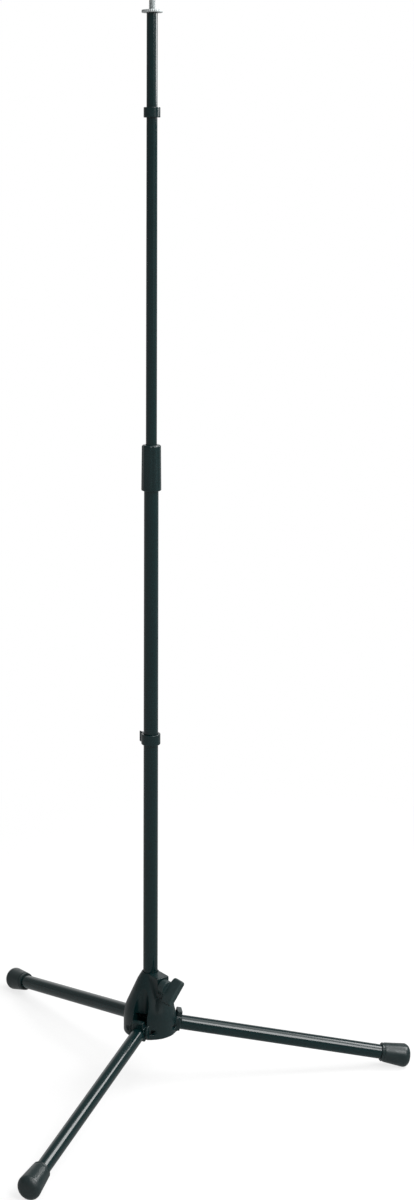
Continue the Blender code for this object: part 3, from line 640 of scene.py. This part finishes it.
# Legs
# Each leg is a cast knuckle on a riveted pin, a 19.5 mm steel tube on the knuckle's stem, and a cap.
# The tubes have the mast's powder coat, and the knuckles the casting's paint.
LEG_LENGTH = 0.3536
KNUCKLE_RADIUS = 0.0100
SHOULDER_LENGTH = 0.0107
STOP_START = 0.0030
STOP_HEIGHT = 0.0178
STOP_WIDTH = 0.0170
STEM_LENGTH = 0.0240
EYE_ROUND = 0.0005
SHOULDER_ROUND = 0.001
PIN_HOLE_LENGTH = 0.04
KNUCKLE_VOXEL = 0.00042
KNUCKLE_PASSES = 4
LEG_WALL = 0.0013
FOOT_LENGTH = 0.0430
FOOT_RADIUS = 0.0160
FOOT_MOUTH_RADIUS = 0.0127
FOOT_ROUND = 0.0095
FOOT_END_WALL = 0.0070
FOOT_FLAT_DEPTH = 0.0008
FOOT_ARC_STEPS = 12
FOOT_LIP = 0.0026
FOOT_GROOVE = 0.0006
GROOVE_END = 1.7
GROOVE_BACK = 1.3
BEAD_BACK = 0.8
BEAD_FRONT = 0.35
BEAD_TUCK = 0.3
PIN_DIMPLE_RADIUS = 0.0011
PIN_DIMPLE_DEPTH = 0.0004
PIN_RING_RADIUS = 0.0016
PIN_CHAMFER = 0.0003
PIN_ROUND = 0.0002
PIN_STEPS = 48


def leg_slope():
    """How far below level a leg points, so that its round cap sits on the floor on a small flat."""
    along = LEG_LENGTH - FOOT_ROUND
    over = FOOT_RADIUS - FOOT_ROUND
    drop = PIVOT_HEIGHT + FOOT_FLAT_DEPTH - FOOT_ROUND
    return math.asin(drop / math.hypot(along, over)) - math.atan2(over, along)


def leg_frame(angle):
    """The frame of a leg: its origin is on the pivot and its Z axis runs along the tube."""
    turn = Matrix.Rotation(angle, 4, "Z") @ Matrix.Translation((PIVOT_RADIUS, 0, 0))
    return HUB @ turn @ Matrix.Rotation(math.pi / 2 + leg_slope(), 4, "Y")


def knuckle():
    """The cast knuckle, in a frame with Z along the tube and X pointing down."""
    crosswise = Matrix.Rotation(math.pi / 2, 4, "X")
    half = KNUCKLE_WIDTH / 2
    eye = rounded(rod(KNUCKLE_RADIUS, KNUCKLE_WIDTH, -half, TUBE_STEPS), EYE_ROUND)
    moved(eye, crosswise)
    shoulder = block((-LEG_RADIUS, -half, 0), (LEG_RADIUS, half, SHOULDER_LENGTH))
    rounded(shoulder, SHOULDER_ROUND)
    stop = block((-STOP_HEIGHT, -STOP_WIDTH / 2, STOP_START), (0, STOP_WIDTH / 2, SHOULDER_LENGTH))
    rounded(stop, SHOULDER_ROUND)
    stem = rod(LEG_RADIUS - LEG_WALL - FIT, SHOULDER_LENGTH / 2 + STEM_LENGTH, SHOULDER_LENGTH / 2)
    bore = moved(rod(PIN_RADIUS + FIT, PIN_HOLE_LENGTH, -PIN_HOLE_LENGTH / 2), crosswise)
    return combined(eye, [shoulder, stop, stem], [bore], KNUCKLE_VOXEL, KNUCKLE_PASSES)


def foot_cap():
    """The moulded cap: a beaded mouth, sides that widen, a round end, and its bore."""
    mouth = LEG_LENGTH - FOOT_LENGTH
    outline = [(0, LEG_LENGTH)]
    for index in range(FOOT_ARC_STEPS + 1):
        angle = math.pi / 2 * (1 - index / FOOT_ARC_STEPS)
        radius = FOOT_RADIUS - FOOT_ROUND * (1 - math.cos(angle))
        outline.append((radius, LEG_LENGTH - FOOT_ROUND * (1 - math.sin(angle))))
    bore = LEG_RADIUS + FIT
    widening = (FOOT_RADIUS - FOOT_MOUTH_RADIUS) / (FOOT_LENGTH - FOOT_ROUND)
    groove = FOOT_MOUTH_RADIUS + widening * FOOT_LIP - FOOT_GROOVE
    outline += [
        (FOOT_MOUTH_RADIUS + GROOVE_END * widening * FOOT_LIP, mouth + GROOVE_END * FOOT_LIP),
        (groove, mouth + GROOVE_BACK * FOOT_LIP),
        (groove, mouth + FOOT_LIP),
        (FOOT_MOUTH_RADIUS, mouth + BEAD_BACK * FOOT_LIP),
        (FOOT_MOUTH_RADIUS, mouth + BEAD_FRONT * FOOT_LIP),
        (FOOT_MOUTH_RADIUS - BEAD_TUCK * FOOT_LIP, mouth),
        (bore, mouth),
        (bore, LEG_LENGTH - FOOT_END_WALL + FIT),
        (0, LEG_LENGTH - FOOT_END_WALL + FIT),
    ]
    return turned(held(outline))


def cut_at_floor(bm):
    """The shape with what reaches below the floor cut off, and closed there."""
    cut = bmesh.ops.bisect_plane(
        bm,
        geom=bm.verts[:] + bm.edges[:] + bm.faces[:],
        dist=MERGE,
        plane_co=(0, 0, 0),
        plane_no=(0, 0, -1),
        clear_outer=True,
    )
    rim = [item for item in cut["geom_cut"] if isinstance(item, bmesh.types.BMEdge)]
    bmesh.ops.holes_fill(bm, edges=rim)
    return bm


RUBBER = handled_finish(
    "black_moulded_rubber",
    colour=(0.006, 0.015, 0.016),
    roughness=0.30,
    patch_roughness=0.42,
    patches=70.0,
    dust=0.02,
    cells=1800.0,
    depth=0.00004,
    grit=0.8,
)
BLACKENED_STEEL = handled_finish(
    "blackened_steel",
    colour=(0.004, 0.011, 0.012),
    roughness=0.30,
    patch_roughness=0.42,
    patches=300.0,
    dust=0.01,
    cells=2400.0,
    depth=0.00001,
    grit=0.5,
)
for leg, angle in LEG_ANGLES.items():
    placed = leg_frame(angle)
    finished(
        f"leg_knuckle_{leg}",
        moved(knuckle(), placed),
        CAST_PAINT,
        "die_cast_black",
        f"leg_{leg}",
        f"leg_root_{leg}",
    )
    tube_outline = [
        (LEG_RADIUS - LEG_WALL, LEG_LENGTH - FOOT_END_WALL),
        (LEG_RADIUS, LEG_LENGTH - FOOT_END_WALL),
        (LEG_RADIUS, SHOULDER_LENGTH + FIT),
        (LEG_RADIUS - LEG_WALL, SHOULDER_LENGTH + FIT),
    ]
    finished(
        f"leg_arm_{leg}",
        moved(rounded(turned(held(tube_outline)), RIM_ROUND, 2), placed),
        POWDER_COAT,
        "powder_coat",
        f"leg_{leg}",
        f"leg_tube_{leg}",
    )
    cap = cut_at_floor(moved(foot_cap(), placed))
    finished(f"rubber_foot_{leg}", cap, RUBBER, "foot_rubber", f"leg_{leg}", f"foot_cap_{leg}")
    pin_outline = [
        (0, EAR_HALF),
        (PIN_DIMPLE_RADIUS, EAR_HALF - PIN_DIMPLE_DEPTH),
        (PIN_RING_RADIUS, EAR_HALF),
        (PIN_RADIUS, EAR_HALF - PIN_CHAMFER),
        (PIN_RADIUS, PIN_CHAMFER - EAR_HALF),
        (PIN_RING_RADIUS, -EAR_HALF),
        (PIN_DIMPLE_RADIUS, PIN_DIMPLE_DEPTH - EAR_HALF),
        (0, -EAR_HALF),
    ]
    pin = rounded(turned(pin_outline, PIN_STEPS), PIN_ROUND, 2)
    finished(
        f"rivet_pin_{leg}",
        moved(moved(pin, across(angle, PIVOT_RADIUS)), HUB),
        BLACKENED_STEEL,
        "blackened_steel",
        "base",
        f"leg_pin_{leg}",
    )

# Wing bolt
# A moulded black T-shaped head on an 8 mm threaded shank, which presses a nylon pad on the mast.
# The wings are thick at the boss, thinner at the ends and rounded all over.
WING_GAP = 0.0008
WING_BOSS_RADIUS = 0.0110
WING_BOSS_LENGTH = 0.0119
WING_LENGTH = 0.0380
WING_WIDTH = 0.0229
WING_THICKNESS = 0.0095
WING_OVERLAP = 0.0016
WING_TAPER = 0.22
WING_RISE = 0.0024
WING_DIP = 0.0010
WING_CUTS = 9
WING_ROUND = 0.0032
WING_ROUND_STEPS = 5
WING_BOSS_ROUND = 0.0009
WING_VOXEL = 0.00045
WING_PASSES = 4
WING_TURN = math.radians(50)
BOLT_GRIP = 0.0240
PAD_THICKNESS = 0.0022
BOLT_PITCH = 0.00125
BOLT_LEAD_IN = 0.0005
THREAD_STEPS = 48
THREAD_DEPTH = 0.58
TOOTH_START = 0.1
TOOTH_TOP_START = 0.5
TOOTH_TOP_END = 0.6


def threaded_rod(radius, pitch, bottom, top, lead_in):
    """A rod along Z with a right-hand thread, and a cone where the thread starts at its top."""
    depth = THREAD_DEPTH * pitch
    turns = math.ceil((top - bottom) / pitch) + 2
    tooth = [
        (radius - depth, 0),
        (radius - depth, TOOTH_START * pitch),
        (radius, TOOTH_TOP_START * pitch),
        (radius, TOOTH_TOP_END * pitch),
        (radius - depth, pitch),
    ]
    bm = bmesh.new()
    points = [bm.verts.new((reach, 0, bottom - pitch + height)) for reach, height in tooth]
    line = [bm.edges.new(pair) for pair in zip(points, points[1:])]
    bmesh.ops.spin(
        bm,
        geom=points + line,
        cent=(0, 0, 0),
        axis=(0, 0, 1),
        dvec=(0, 0, pitch / THREAD_STEPS),
        angle=2 * math.pi * turns,
        steps=THREAD_STEPS * turns,
    )
    bmesh.ops.remove_doubles(bm, verts=bm.verts, dist=MERGE)
    for height, side in ((top, 1), (bottom, -1)):
        bmesh.ops.bisect_plane(
            bm,
            geom=bm.verts[:] + bm.edges[:] + bm.faces[:],
            dist=MERGE,
            plane_co=(0, 0, height),
            plane_no=(0, 0, side),
            clear_outer=True,
        )
        open_edges = [edge for edge in bm.edges if edge.is_boundary]
        rim = [edge for edge in open_edges if abs(edge.verts[0].co.z - height) < MERGE]
        bmesh.ops.holes_fill(bm, edges=rim)
    for vert in bm.verts:
        reach = math.hypot(vert.co.x, vert.co.y)
        most = radius - max(0, vert.co.z - (top - lead_in))
        if reach > most:
            vert.co.xy *= most / reach
    bmesh.ops.recalc_face_normals(bm, faces=bm.faces)
    return bm


def wing_head():
    """The T-shaped head, in a frame with Z along the bolt."""
    start = WING_BOSS_LENGTH - WING_OVERLAP
    bar = block(
        (-WING_THICKNESS / 2, -WING_LENGTH / 2, start),
        (WING_THICKNESS / 2, WING_LENGTH / 2, start + WING_WIDTH),
    )
    long_edges = []
    for edge in bar.edges:
        if abs(edge.verts[0].co.y - edge.verts[1].co.y) > WING_LENGTH / 2:
            long_edges.append(edge)
    bmesh.ops.subdivide_edges(bar, edges=long_edges, cuts=WING_CUTS, use_grid_fill=True)
    for vert in bar.verts:
        share = abs(vert.co.y) / (WING_LENGTH / 2)
        vert.co.x *= 1 - WING_TAPER * share**2
        if vert.co.z < WING_BOSS_LENGTH:
            vert.co.z += WING_RISE * share**2
        else:
            vert.co.z -= WING_DIP * (1 - share**2)
    rounded(bar, WING_ROUND, WING_ROUND_STEPS)
    boss = rounded(rod(WING_BOSS_RADIUS, WING_BOSS_LENGTH, 0, TUBE_STEPS), WING_BOSS_ROUND)
    turn = Matrix.Rotation(WING_TURN, 4, "Z")
    hole = rod(BOLT_RADIUS + FIT, BOLT_GRIP + 2 * FIT, -FIT)
    return combined(boss, [moved(bar, turn)], [hole], WING_VOXEL, WING_PASSES)


MOULDED_BLACK = handled_finish(
    "black_moulded_nylon",
    colour=(0.010, 0.024, 0.025),
    roughness=0.38,
    patch_roughness=0.48,
    patches=90.0,
    dust=0.008,
    cells=2600.0,
    depth=0.00003,
    grit=0.6,
)
bolt_axis = HUB @ outward(LUG_ANGLE, BOLT_HEIGHT)
head_start = LUG_REACH + WING_GAP
finished(
    "wing_knob",
    moved(wing_head(), bolt_axis @ Matrix.Translation((0, 0, head_start))),
    MOULDED_BLACK,
    "moulded_black",
    "wing_bolt",
    "wing_bolt_head",
)
shank_start = LOWER_RADIUS + FIT + PAD_THICKNESS + FIT
shank = threaded_rod(
    BOLT_RADIUS, BOLT_PITCH, shank_start, head_start + BOLT_GRIP, BOLT_LEAD_IN
)
finished(
    "wing_bolt_thread",
    moved(shank, bolt_axis),
    PLATED_STEEL,
    "plated_steel",
    "wing_bolt",
    "wing_bolt_shank",
)

WHITE_NYLON = handled_finish(
    "natural_white_nylon",
    colour=(0.70, 0.69, 0.64),
    roughness=0.42,
    patch_roughness=0.55,
    patches=120.0,
    dust=0.01,
    cells=2000.0,
    depth=0.00002,
    grit=0.3,
)
refinished(WHITE_NYLON, "pressure_pad", "clutch_collet")

# Height clutch
# A black sleeve screws down on a body that is fixed on the lower tube, and squeezes a split collet.
# Its top corner is well rounded, and ten shallow flutes run its whole length for grip.
SLEEVE_BOTTOM = 0.846
SLEEVE_TOP = 0.912
SLEEVE_TOP_RADIUS = 0.0139
SLEEVE_BOTTOM_RADIUS = 0.0145
SLEEVE_BORE = 0.0125
SLEEVE_ROUND = 0.0028
SLEEVE_ROUND_STEPS = 6
SLEEVE_RINGS = 12
OUTER_MARGIN = 0.0005
CORNER_ANGLE = math.radians(60)
SLEEVE_FLUTES = 10
FLUTE_STEPS = 20
FLUTE_DEPTH = 0.0006
FLUTE_SHARPNESS = 1.5
FLUTE_INSET = 0.0008
FLUTE_FADE = 0.004
UPPER_RADIUS = 0.0080
CONE_BOTTOM = 0.8875
CONE_TOP = 0.906
COLLET_RADIUS = 0.0106


def ripple(vert, count):
    """A wave from 0 to 1 round Z, which repeats this many times in a turn."""
    return 0.5 - 0.5 * math.cos(count * math.atan2(vert.co.y, vert.co.x))


def clutch_sleeve():
    """The fluted sleeve, with the cone in it that squeezes the collet."""
    outline = [(UPPER_RADIUS + 2 * FIT, SLEEVE_TOP), (SLEEVE_TOP_RADIUS, SLEEVE_TOP)]
    for index in range(1, SLEEVE_RINGS):
        share = index / SLEEVE_RINGS
        radius = SLEEVE_TOP_RADIUS + (SLEEVE_BOTTOM_RADIUS - SLEEVE_TOP_RADIUS) * share
        outline.append((radius, SLEEVE_TOP + (SLEEVE_BOTTOM - SLEEVE_TOP) * share))
    outline += [
        (SLEEVE_BOTTOM_RADIUS, SLEEVE_BOTTOM),
        (SLEEVE_BORE, SLEEVE_BOTTOM),
        (SLEEVE_BORE, CONE_BOTTOM),
        (COLLET_RADIUS, CONE_TOP),
        (UPPER_RADIUS + 2 * FIT, CONE_TOP),
    ]
    bm = turned(outline, FLUTE_STEPS * SLEEVE_FLUTES)
    outer = SLEEVE_BORE + OUTER_MARGIN
    corners = []
    for edge in bm.edges:
        nearest = min(math.hypot(*vert.co.xy) for vert in edge.verts)
        if edge.calc_face_angle() > CORNER_ANGLE and nearest > outer:
            corners.append(edge)
    upper = [edge for edge in corners if edge.verts[0].co.z > CONE_BOTTOM]
    lower = [edge for edge in corners if edge.verts[0].co.z < CONE_BOTTOM]
    for edges, width in ((upper, SLEEVE_ROUND), (lower, SLEEVE_ROUND / 2)):
        bmesh.ops.bevel(
            bm,
            geom=edges,
            offset=width,
            affect="EDGES",
            segments=SLEEVE_ROUND_STEPS,
            profile=0.5,
            material=-1,
        )
    for vert in bm.verts:
        reach = math.hypot(vert.co.x, vert.co.y)
        depth = min(1, max(0, reach - SLEEVE_BORE) / FLUTE_INSET)
        end_fade = min(1, (vert.co.z - SLEEVE_BOTTOM) / FLUTE_FADE)
        wave = ripple(vert, SLEEVE_FLUTES) ** FLUTE_SHARPNESS
        vert.co.xy *= 1 - FLUTE_DEPTH * wave * depth * end_fade / reach
    return moved(bm, Matrix.Translation(MAST))


SLEEVE_BLACK = handled_finish(
    "black_clutch_nylon",
    colour=NEAR_BLACK,
    roughness=0.22,
    patch_roughness=0.30,
    patches=90.0,
    dust=0.008,
    cells=2600.0,
    depth=0.00002,
    grit=0.6,
)
finished(
    "twist_sleeve", clutch_sleeve(), SLEEVE_BLACK, "moulded_black", "clutch_sleeve", "clutch_sleeve"
)
refinished(SLEEVE_BLACK, "clutch_body", "upper_tube_bushing")

# Upper tube
# A steel tube, 16 mm across with a 1.2 mm wall, which slides in the lower one and is coated alike.
UPPER_WALL = 0.0012
tube("mast_upper_tube", "upper_tube", UPPER_WALL, POWDER_COAT, "powder_coat", "upper_mast")

# Threaded stud and lock nut
# A 3/8 inch stud with 16 turns to the inch stands out of a plug in the upper tube's end.
# A thin steel nut with a coarsely knurled rim locks what is screwed onto it.
STUD_PITCH = 0.0254 / 16
STUD_LEAD_IN = 0.0012
NUT_BORE = 0.0051
NUT_ROUND = 0.0004
NUT_RIM = 0.0012
NUT_RIDGES = 32
NUT_RIDGE_STEPS = 6
NUT_RIDGE_DEPTH = 0.0005
BRIGHT_STEEL = plated_finish(
    "nickel_plated_steel",
    colour=(0.40, 0.43, 0.43),
    metallic=0.45,
    roughness=0.42,
    patches=200.0,
    stretch=(300, 300, 4000),
)
stud_low, stud_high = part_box("thread_stud")
stud = threaded_rod(
    (stud_high.x - stud_low.x) / 2, STUD_PITCH, stud_low.z, stud_high.z, STUD_LEAD_IN
)
finished(
    "stud_with_thread",
    moved(stud, Matrix.Translation(MAST)),
    BRIGHT_STEEL,
    "bright_steel",
    "upper_mast",
    "thread_stud",
)
nut_low, nut_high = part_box("stud_lock_nut")
NUT_RADIUS = (nut_high.x - nut_low.x) / 2
nut_outline = [
    (NUT_BORE, nut_high.z),
    (NUT_RADIUS, nut_high.z),
    (NUT_RADIUS, (nut_low.z + nut_high.z) / 2),
    (NUT_RADIUS, nut_low.z),
    (NUT_BORE, nut_low.z),
]
nut = rounded(turned(nut_outline, NUT_RIDGE_STEPS * NUT_RIDGES), NUT_ROUND, 2)
for vert in nut.verts:
    reach = math.hypot(vert.co.x, vert.co.y)
    if reach > NUT_RADIUS - NUT_RIM:
        vert.co.xy *= 1 - NUT_RIDGE_DEPTH * ripple(vert, NUT_RIDGES) / reach
finished(
    "knurled_lock_nut",
    moved(nut, Matrix.Translation(MAST)),
    BRIGHT_STEEL,
    "bright_steel",
    "lock_nut",
    "stud_lock_nut",
)

# Cable clips
# Each is one moulding: a ring that springs onto its tube, and a hook at its back for the cable.
# They are glossy black plastic, thin enough to spring open at the mouth.
CLIP_RADII = {"upper": (UPPER_RADIUS, 0.0122), "lower": (LOWER_RADIUS, 0.0138)}
CLIP_ANGLES = {"upper": math.radians(83), "lower": math.radians(120)}
CLIP_MOUTH_TURN = math.radians(-58)
CLIP_MOUTH_ANGLE = math.radians(44)
HOOK_BORE = 0.0040
HOOK_WALL = 0.0018
HOOK_STANDOFF = 0.0003
HOOK_MOUTH_ANGLE = math.radians(90)
CLIP_EDGE = 0.0006
CLIP_STEPS = 96
HOOK_STEPS = 48
CLIP_BORE_STEPS = 128
CLIP_BORE_LENGTH = 0.04
CLIP_VOXEL = 0.00035
CLIP_PASSES = 3


def open_ring(inner, outer, height, start, angle, steps):
    """Part of a ring wall about Z, with rounded edges."""
    bm = bmesh.new()
    section = [(inner, height / 2), (outer, height / 2), (outer, -height / 2), (inner, -height / 2)]
    face = bm.faces.new([bm.verts.new((radius, 0, z)) for radius, z in section])
    bmesh.ops.rotate(bm, verts=bm.verts, cent=(0, 0, 0), matrix=Matrix.Rotation(start, 3, "Z"))
    bmesh.ops.spin(bm, geom=[face], cent=(0, 0, 0), axis=(0, 0, 1), angle=angle, steps=steps)
    bmesh.ops.recalc_face_normals(bm, faces=bm.faces)
    return rounded(bm, CLIP_EDGE, 3)


def cable_clip(which):
    """One clip, at its place on its tube."""
    low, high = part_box(f"{which}_clip")
    tube_radius, ring_radius = CLIP_RADII[which]
    angle = CLIP_ANGLES[which]
    height = high.z - low.z
    ring = open_ring(
        tube_radius + FIT,
        ring_radius,
        height,
        angle + CLIP_MOUTH_TURN + CLIP_MOUTH_ANGLE / 2,
        2 * math.pi - CLIP_MOUTH_ANGLE,
        CLIP_STEPS,
    )
    hook = open_ring(
        HOOK_BORE,
        HOOK_BORE + HOOK_WALL,
        height,
        angle + HOOK_MOUTH_ANGLE / 2,
        2 * math.pi - HOOK_MOUTH_ANGLE,
        HOOK_STEPS,
    )
    reach = ring_radius + HOOK_BORE + HOOK_STANDOFF
    hook = moved(hook, Matrix.Translation((reach * math.cos(angle), reach * math.sin(angle), 0)))
    bore = rod(tube_radius + FIT, CLIP_BORE_LENGTH, -CLIP_BORE_LENGTH / 2, CLIP_BORE_STEPS)
    clip = combined(ring, [hook], [bore], CLIP_VOXEL, CLIP_PASSES)
    return moved(clip, Matrix.Translation(MAST + Vector((0, 0, (low.z + high.z) / 2))))


CLIP_PLASTIC = handled_finish(
    "black_glossy_plastic",
    colour=NEAR_BLACK,
    roughness=0.16,
    patch_roughness=0.24,
    patches=120.0,
    dust=0.006,
    cells=1500.0,
    depth=0.00001,
    grit=0.4,
)
for which in CLIP_RADII:
    finished(
        f"cable_clip_{which}",
        cable_clip(which),
        CLIP_PLASTIC,
        "clip_black",
        f"{which}_clip",
        f"{which}_clip",
    )

# Studio
# A white floor in white surroundings, which gloss shows as a dim studio with a bright backdrop.
# A large panel hangs overhead, and softboxes in front and at the right draw the legs' lines.
FLOOR_SIZE = 60.0
FLOOR_WHITE = 0.86
FLOOR_ROUGHNESS = 0.9
FLOOR_IN_GLOSS = 0.40
SHADOW_NEAR = 0.50
SHADOW_FAR = 1.30
SHADOW_SHARE = 0.22
SURROUND_LIGHT = 0.40
STUDIO_IN_GLOSS = 0.28
BACKDROP_IN_GLOSS = 1.0
BACKDROP_START = 0.78
BACKDROP_FULL = 0.96


def surround_level(tree, in_gloss):
    """White for the camera and through glass, this level in gloss, and a plain level as light."""
    path = tree.nodes.new("ShaderNodeLightPath")
    unseen = spread(tree, path.outputs["Is Glossy Ray"], 0.0, 1.0, SURROUND_LIGHT, in_gloss)
    through_glass = path.outputs["Is Transmission Ray"]
    seen = arithmetic(tree, "MAXIMUM", path.outputs["Is Camera Ray"], through_glass)
    return spread(tree, seen, 0.0, 1.0, unseen, 1.0), seen, path.outputs["Is Glossy Ray"]


floor_shape = bmesh.new()
bmesh.ops.create_grid(floor_shape, x_segments=1, y_segments=1, size=FLOOR_SIZE)
floor_mesh = bpy.data.meshes.new("floor")
floor_shape.to_mesh(floor_mesh)
floor_shape.free()
floor = bpy.data.objects.new("floor", floor_mesh)
scene.collection.objects.link(floor)
white_floor = bpy.data.materials.new("white_floor")
white_floor.use_nodes = True
floor_tree = white_floor.node_tree
floor_shader = floor_tree.nodes["Principled BSDF"]
floor_shader.inputs["Base Color"].default_value = (FLOOR_WHITE, FLOOR_WHITE, FLOOR_WHITE, 1)
floor_shader.inputs["Roughness"].default_value = FLOOR_ROUGHNESS
floor_shader.inputs["Specular IOR Level"].default_value = 0.0
level, seen, in_gloss = surround_level(floor_tree, FLOOR_IN_GLOSS)
glow = floor_tree.nodes.new("ShaderNodeEmission")
floor_tree.links.new(level, glow.inputs["Strength"])
distance = floor_tree.nodes.new("ShaderNodeVectorMath")
distance.operation = "LENGTH"
floor_place = floor_tree.nodes.new("ShaderNodeTexCoord").outputs["Object"]
floor_tree.links.new(floor_place, distance.inputs[0])
bare_share = spread(
    floor_tree, distance.outputs["Value"], SHADOW_NEAR, SHADOW_FAR, 1 - SHADOW_SHARE, 1.0
)
glow_share = arithmetic(floor_tree, "MULTIPLY", seen, bare_share)
glow_share = arithmetic(floor_tree, "MAXIMUM", glow_share, in_gloss)
floor_mix = floor_tree.nodes.new("ShaderNodeMixShader")
floor_tree.links.new(glow_share, floor_mix.inputs["Fac"])
floor_tree.links.new(floor_shader.outputs["BSDF"], floor_mix.inputs[1])
floor_tree.links.new(glow.outputs["Emission"], floor_mix.inputs[2])
floor_surface = floor_tree.nodes["Material Output"].inputs["Surface"]
floor_tree.links.new(floor_mix.outputs["Shader"], floor_surface)
floor_mesh.materials.append(white_floor)

world = bpy.data.worlds.new("white_surround")
scene.world = world
world.use_nodes = True
sky_tree = world.node_tree
sky = sky_tree.nodes["Background"]
sky.inputs["Color"].default_value = (1, 1, 1, 1)
heading = sky_tree.nodes.new("ShaderNodeSeparateXYZ")
direction = sky_tree.nodes.new("ShaderNodeTexCoord").outputs["Generated"]
sky_tree.links.new(direction, heading.inputs["Vector"])
backdrop = spread(
    sky_tree,
    heading.outputs["Y"],
    BACKDROP_START,
    BACKDROP_FULL,
    STUDIO_IN_GLOSS,
    BACKDROP_IN_GLOSS,
)
sky_tree.links.new(surround_level(sky_tree, backdrop)[0], sky.inputs["Strength"])


def softbox(name, centre, aim, width, length, radiance):
    """A rectangular lamp at a place, facing a point, with the brightness that its face shows."""
    lamp = bpy.data.lights.new(name, "AREA")
    lamp.shape = "RECTANGLE"
    lamp.size = width
    lamp.size_y = length
    lamp.energy = radiance * math.pi * width * length
    obj = bpy.data.objects.new(name, lamp)
    scene.collection.objects.link(obj)
    facing = (Vector(aim) - Vector(centre)).to_track_quat("-Z", "Y").to_matrix().to_4x4()
    obj.matrix_world = Matrix.Translation(centre) @ facing
    obj.visible_camera = False


LEGS_CENTRE = (0, 0, 0.1)
UPPER_MAST = (MAST.x, 0, 1.35)
UNDER_PANEL = (0.85, -0.10, 0)
for name, centre, aim, width, length, radiance in (
    ("softbox_front", (1.34, -2.04, 2.50), LEGS_CENTRE, 1.05, 1.64, 10.5),
    ("softbox_right", (1.70, 0.26, 1.92), LEGS_CENTRE, 1.10, 1.20, 10.0),
    ("panel_overhead", (0.85, -0.10, 2.70), UNDER_PANEL, 2.10, 2.40, 2.4),
    ("panel_front_right", (1.52, -1.78, 1.35), UPPER_MAST, 0.50, 0.90, 0.6),
):
    softbox(name, centre, aim, width, length, radiance)

# Camera
# It stands 2.7 m in front of the mast, a little to its left and 1.3 m up, and looks nearly level.
# The frame shows the lower part of the lens's view, whose centre is the frame's CENTRE_PIXEL.
CAMERA_TURN = math.radians(-5.307)
CAMERA_DISTANCE = 2.740
CAMERA_SIDE = -0.017
CAMERA_HEIGHT = 1.2764
CAMERA_TILT = math.radians(0.369)
CAMERA_ROLL = math.radians(0.0997)
FRAME_WIDTH = 414
FRAME_HEIGHT = 1200
FOCAL_PIXELS = 1903.0
CENTRE_PIXEL = (140.0, 204.0)
SENSOR = 36.0
FARTHEST = 100

level_ahead = Vector((-math.sin(CAMERA_TURN), math.cos(CAMERA_TURN), 0))
level_right = Vector((math.cos(CAMERA_TURN), math.sin(CAMERA_TURN), 0))
plumb = Vector((0, 0, 1))
ahead = level_ahead * math.cos(CAMERA_TILT) - plumb * math.sin(CAMERA_TILT)
above = level_ahead * math.sin(CAMERA_TILT) + plumb * math.cos(CAMERA_TILT)
right = level_right * math.cos(CAMERA_ROLL) + above * math.sin(CAMERA_ROLL)
above = above * math.cos(CAMERA_ROLL) - level_right * math.sin(CAMERA_ROLL)
stand_point = MAST - level_ahead * CAMERA_DISTANCE + level_right * CAMERA_SIDE
stand_point.z = CAMERA_HEIGHT
camera_data = bpy.data.cameras.new("camera")
camera_data.sensor_width = SENSOR
camera_data.lens = FOCAL_PIXELS / FRAME_HEIGHT * SENSOR
camera_data.shift_x = (FRAME_WIDTH / 2 - CENTRE_PIXEL[0]) / FRAME_HEIGHT
camera_data.shift_y = (CENTRE_PIXEL[1] - FRAME_HEIGHT / 2) / FRAME_HEIGHT
camera_data.clip_end = FARTHEST
camera = bpy.data.objects.new("camera", camera_data)
scene.collection.objects.link(camera)
turned_camera = Matrix((right, above, -ahead)).transposed().to_4x4()
camera.matrix_world = Matrix.Translation(stand_point) @ turned_camera
scene.camera = camera
scene.view_settings.view_transform = "Standard"
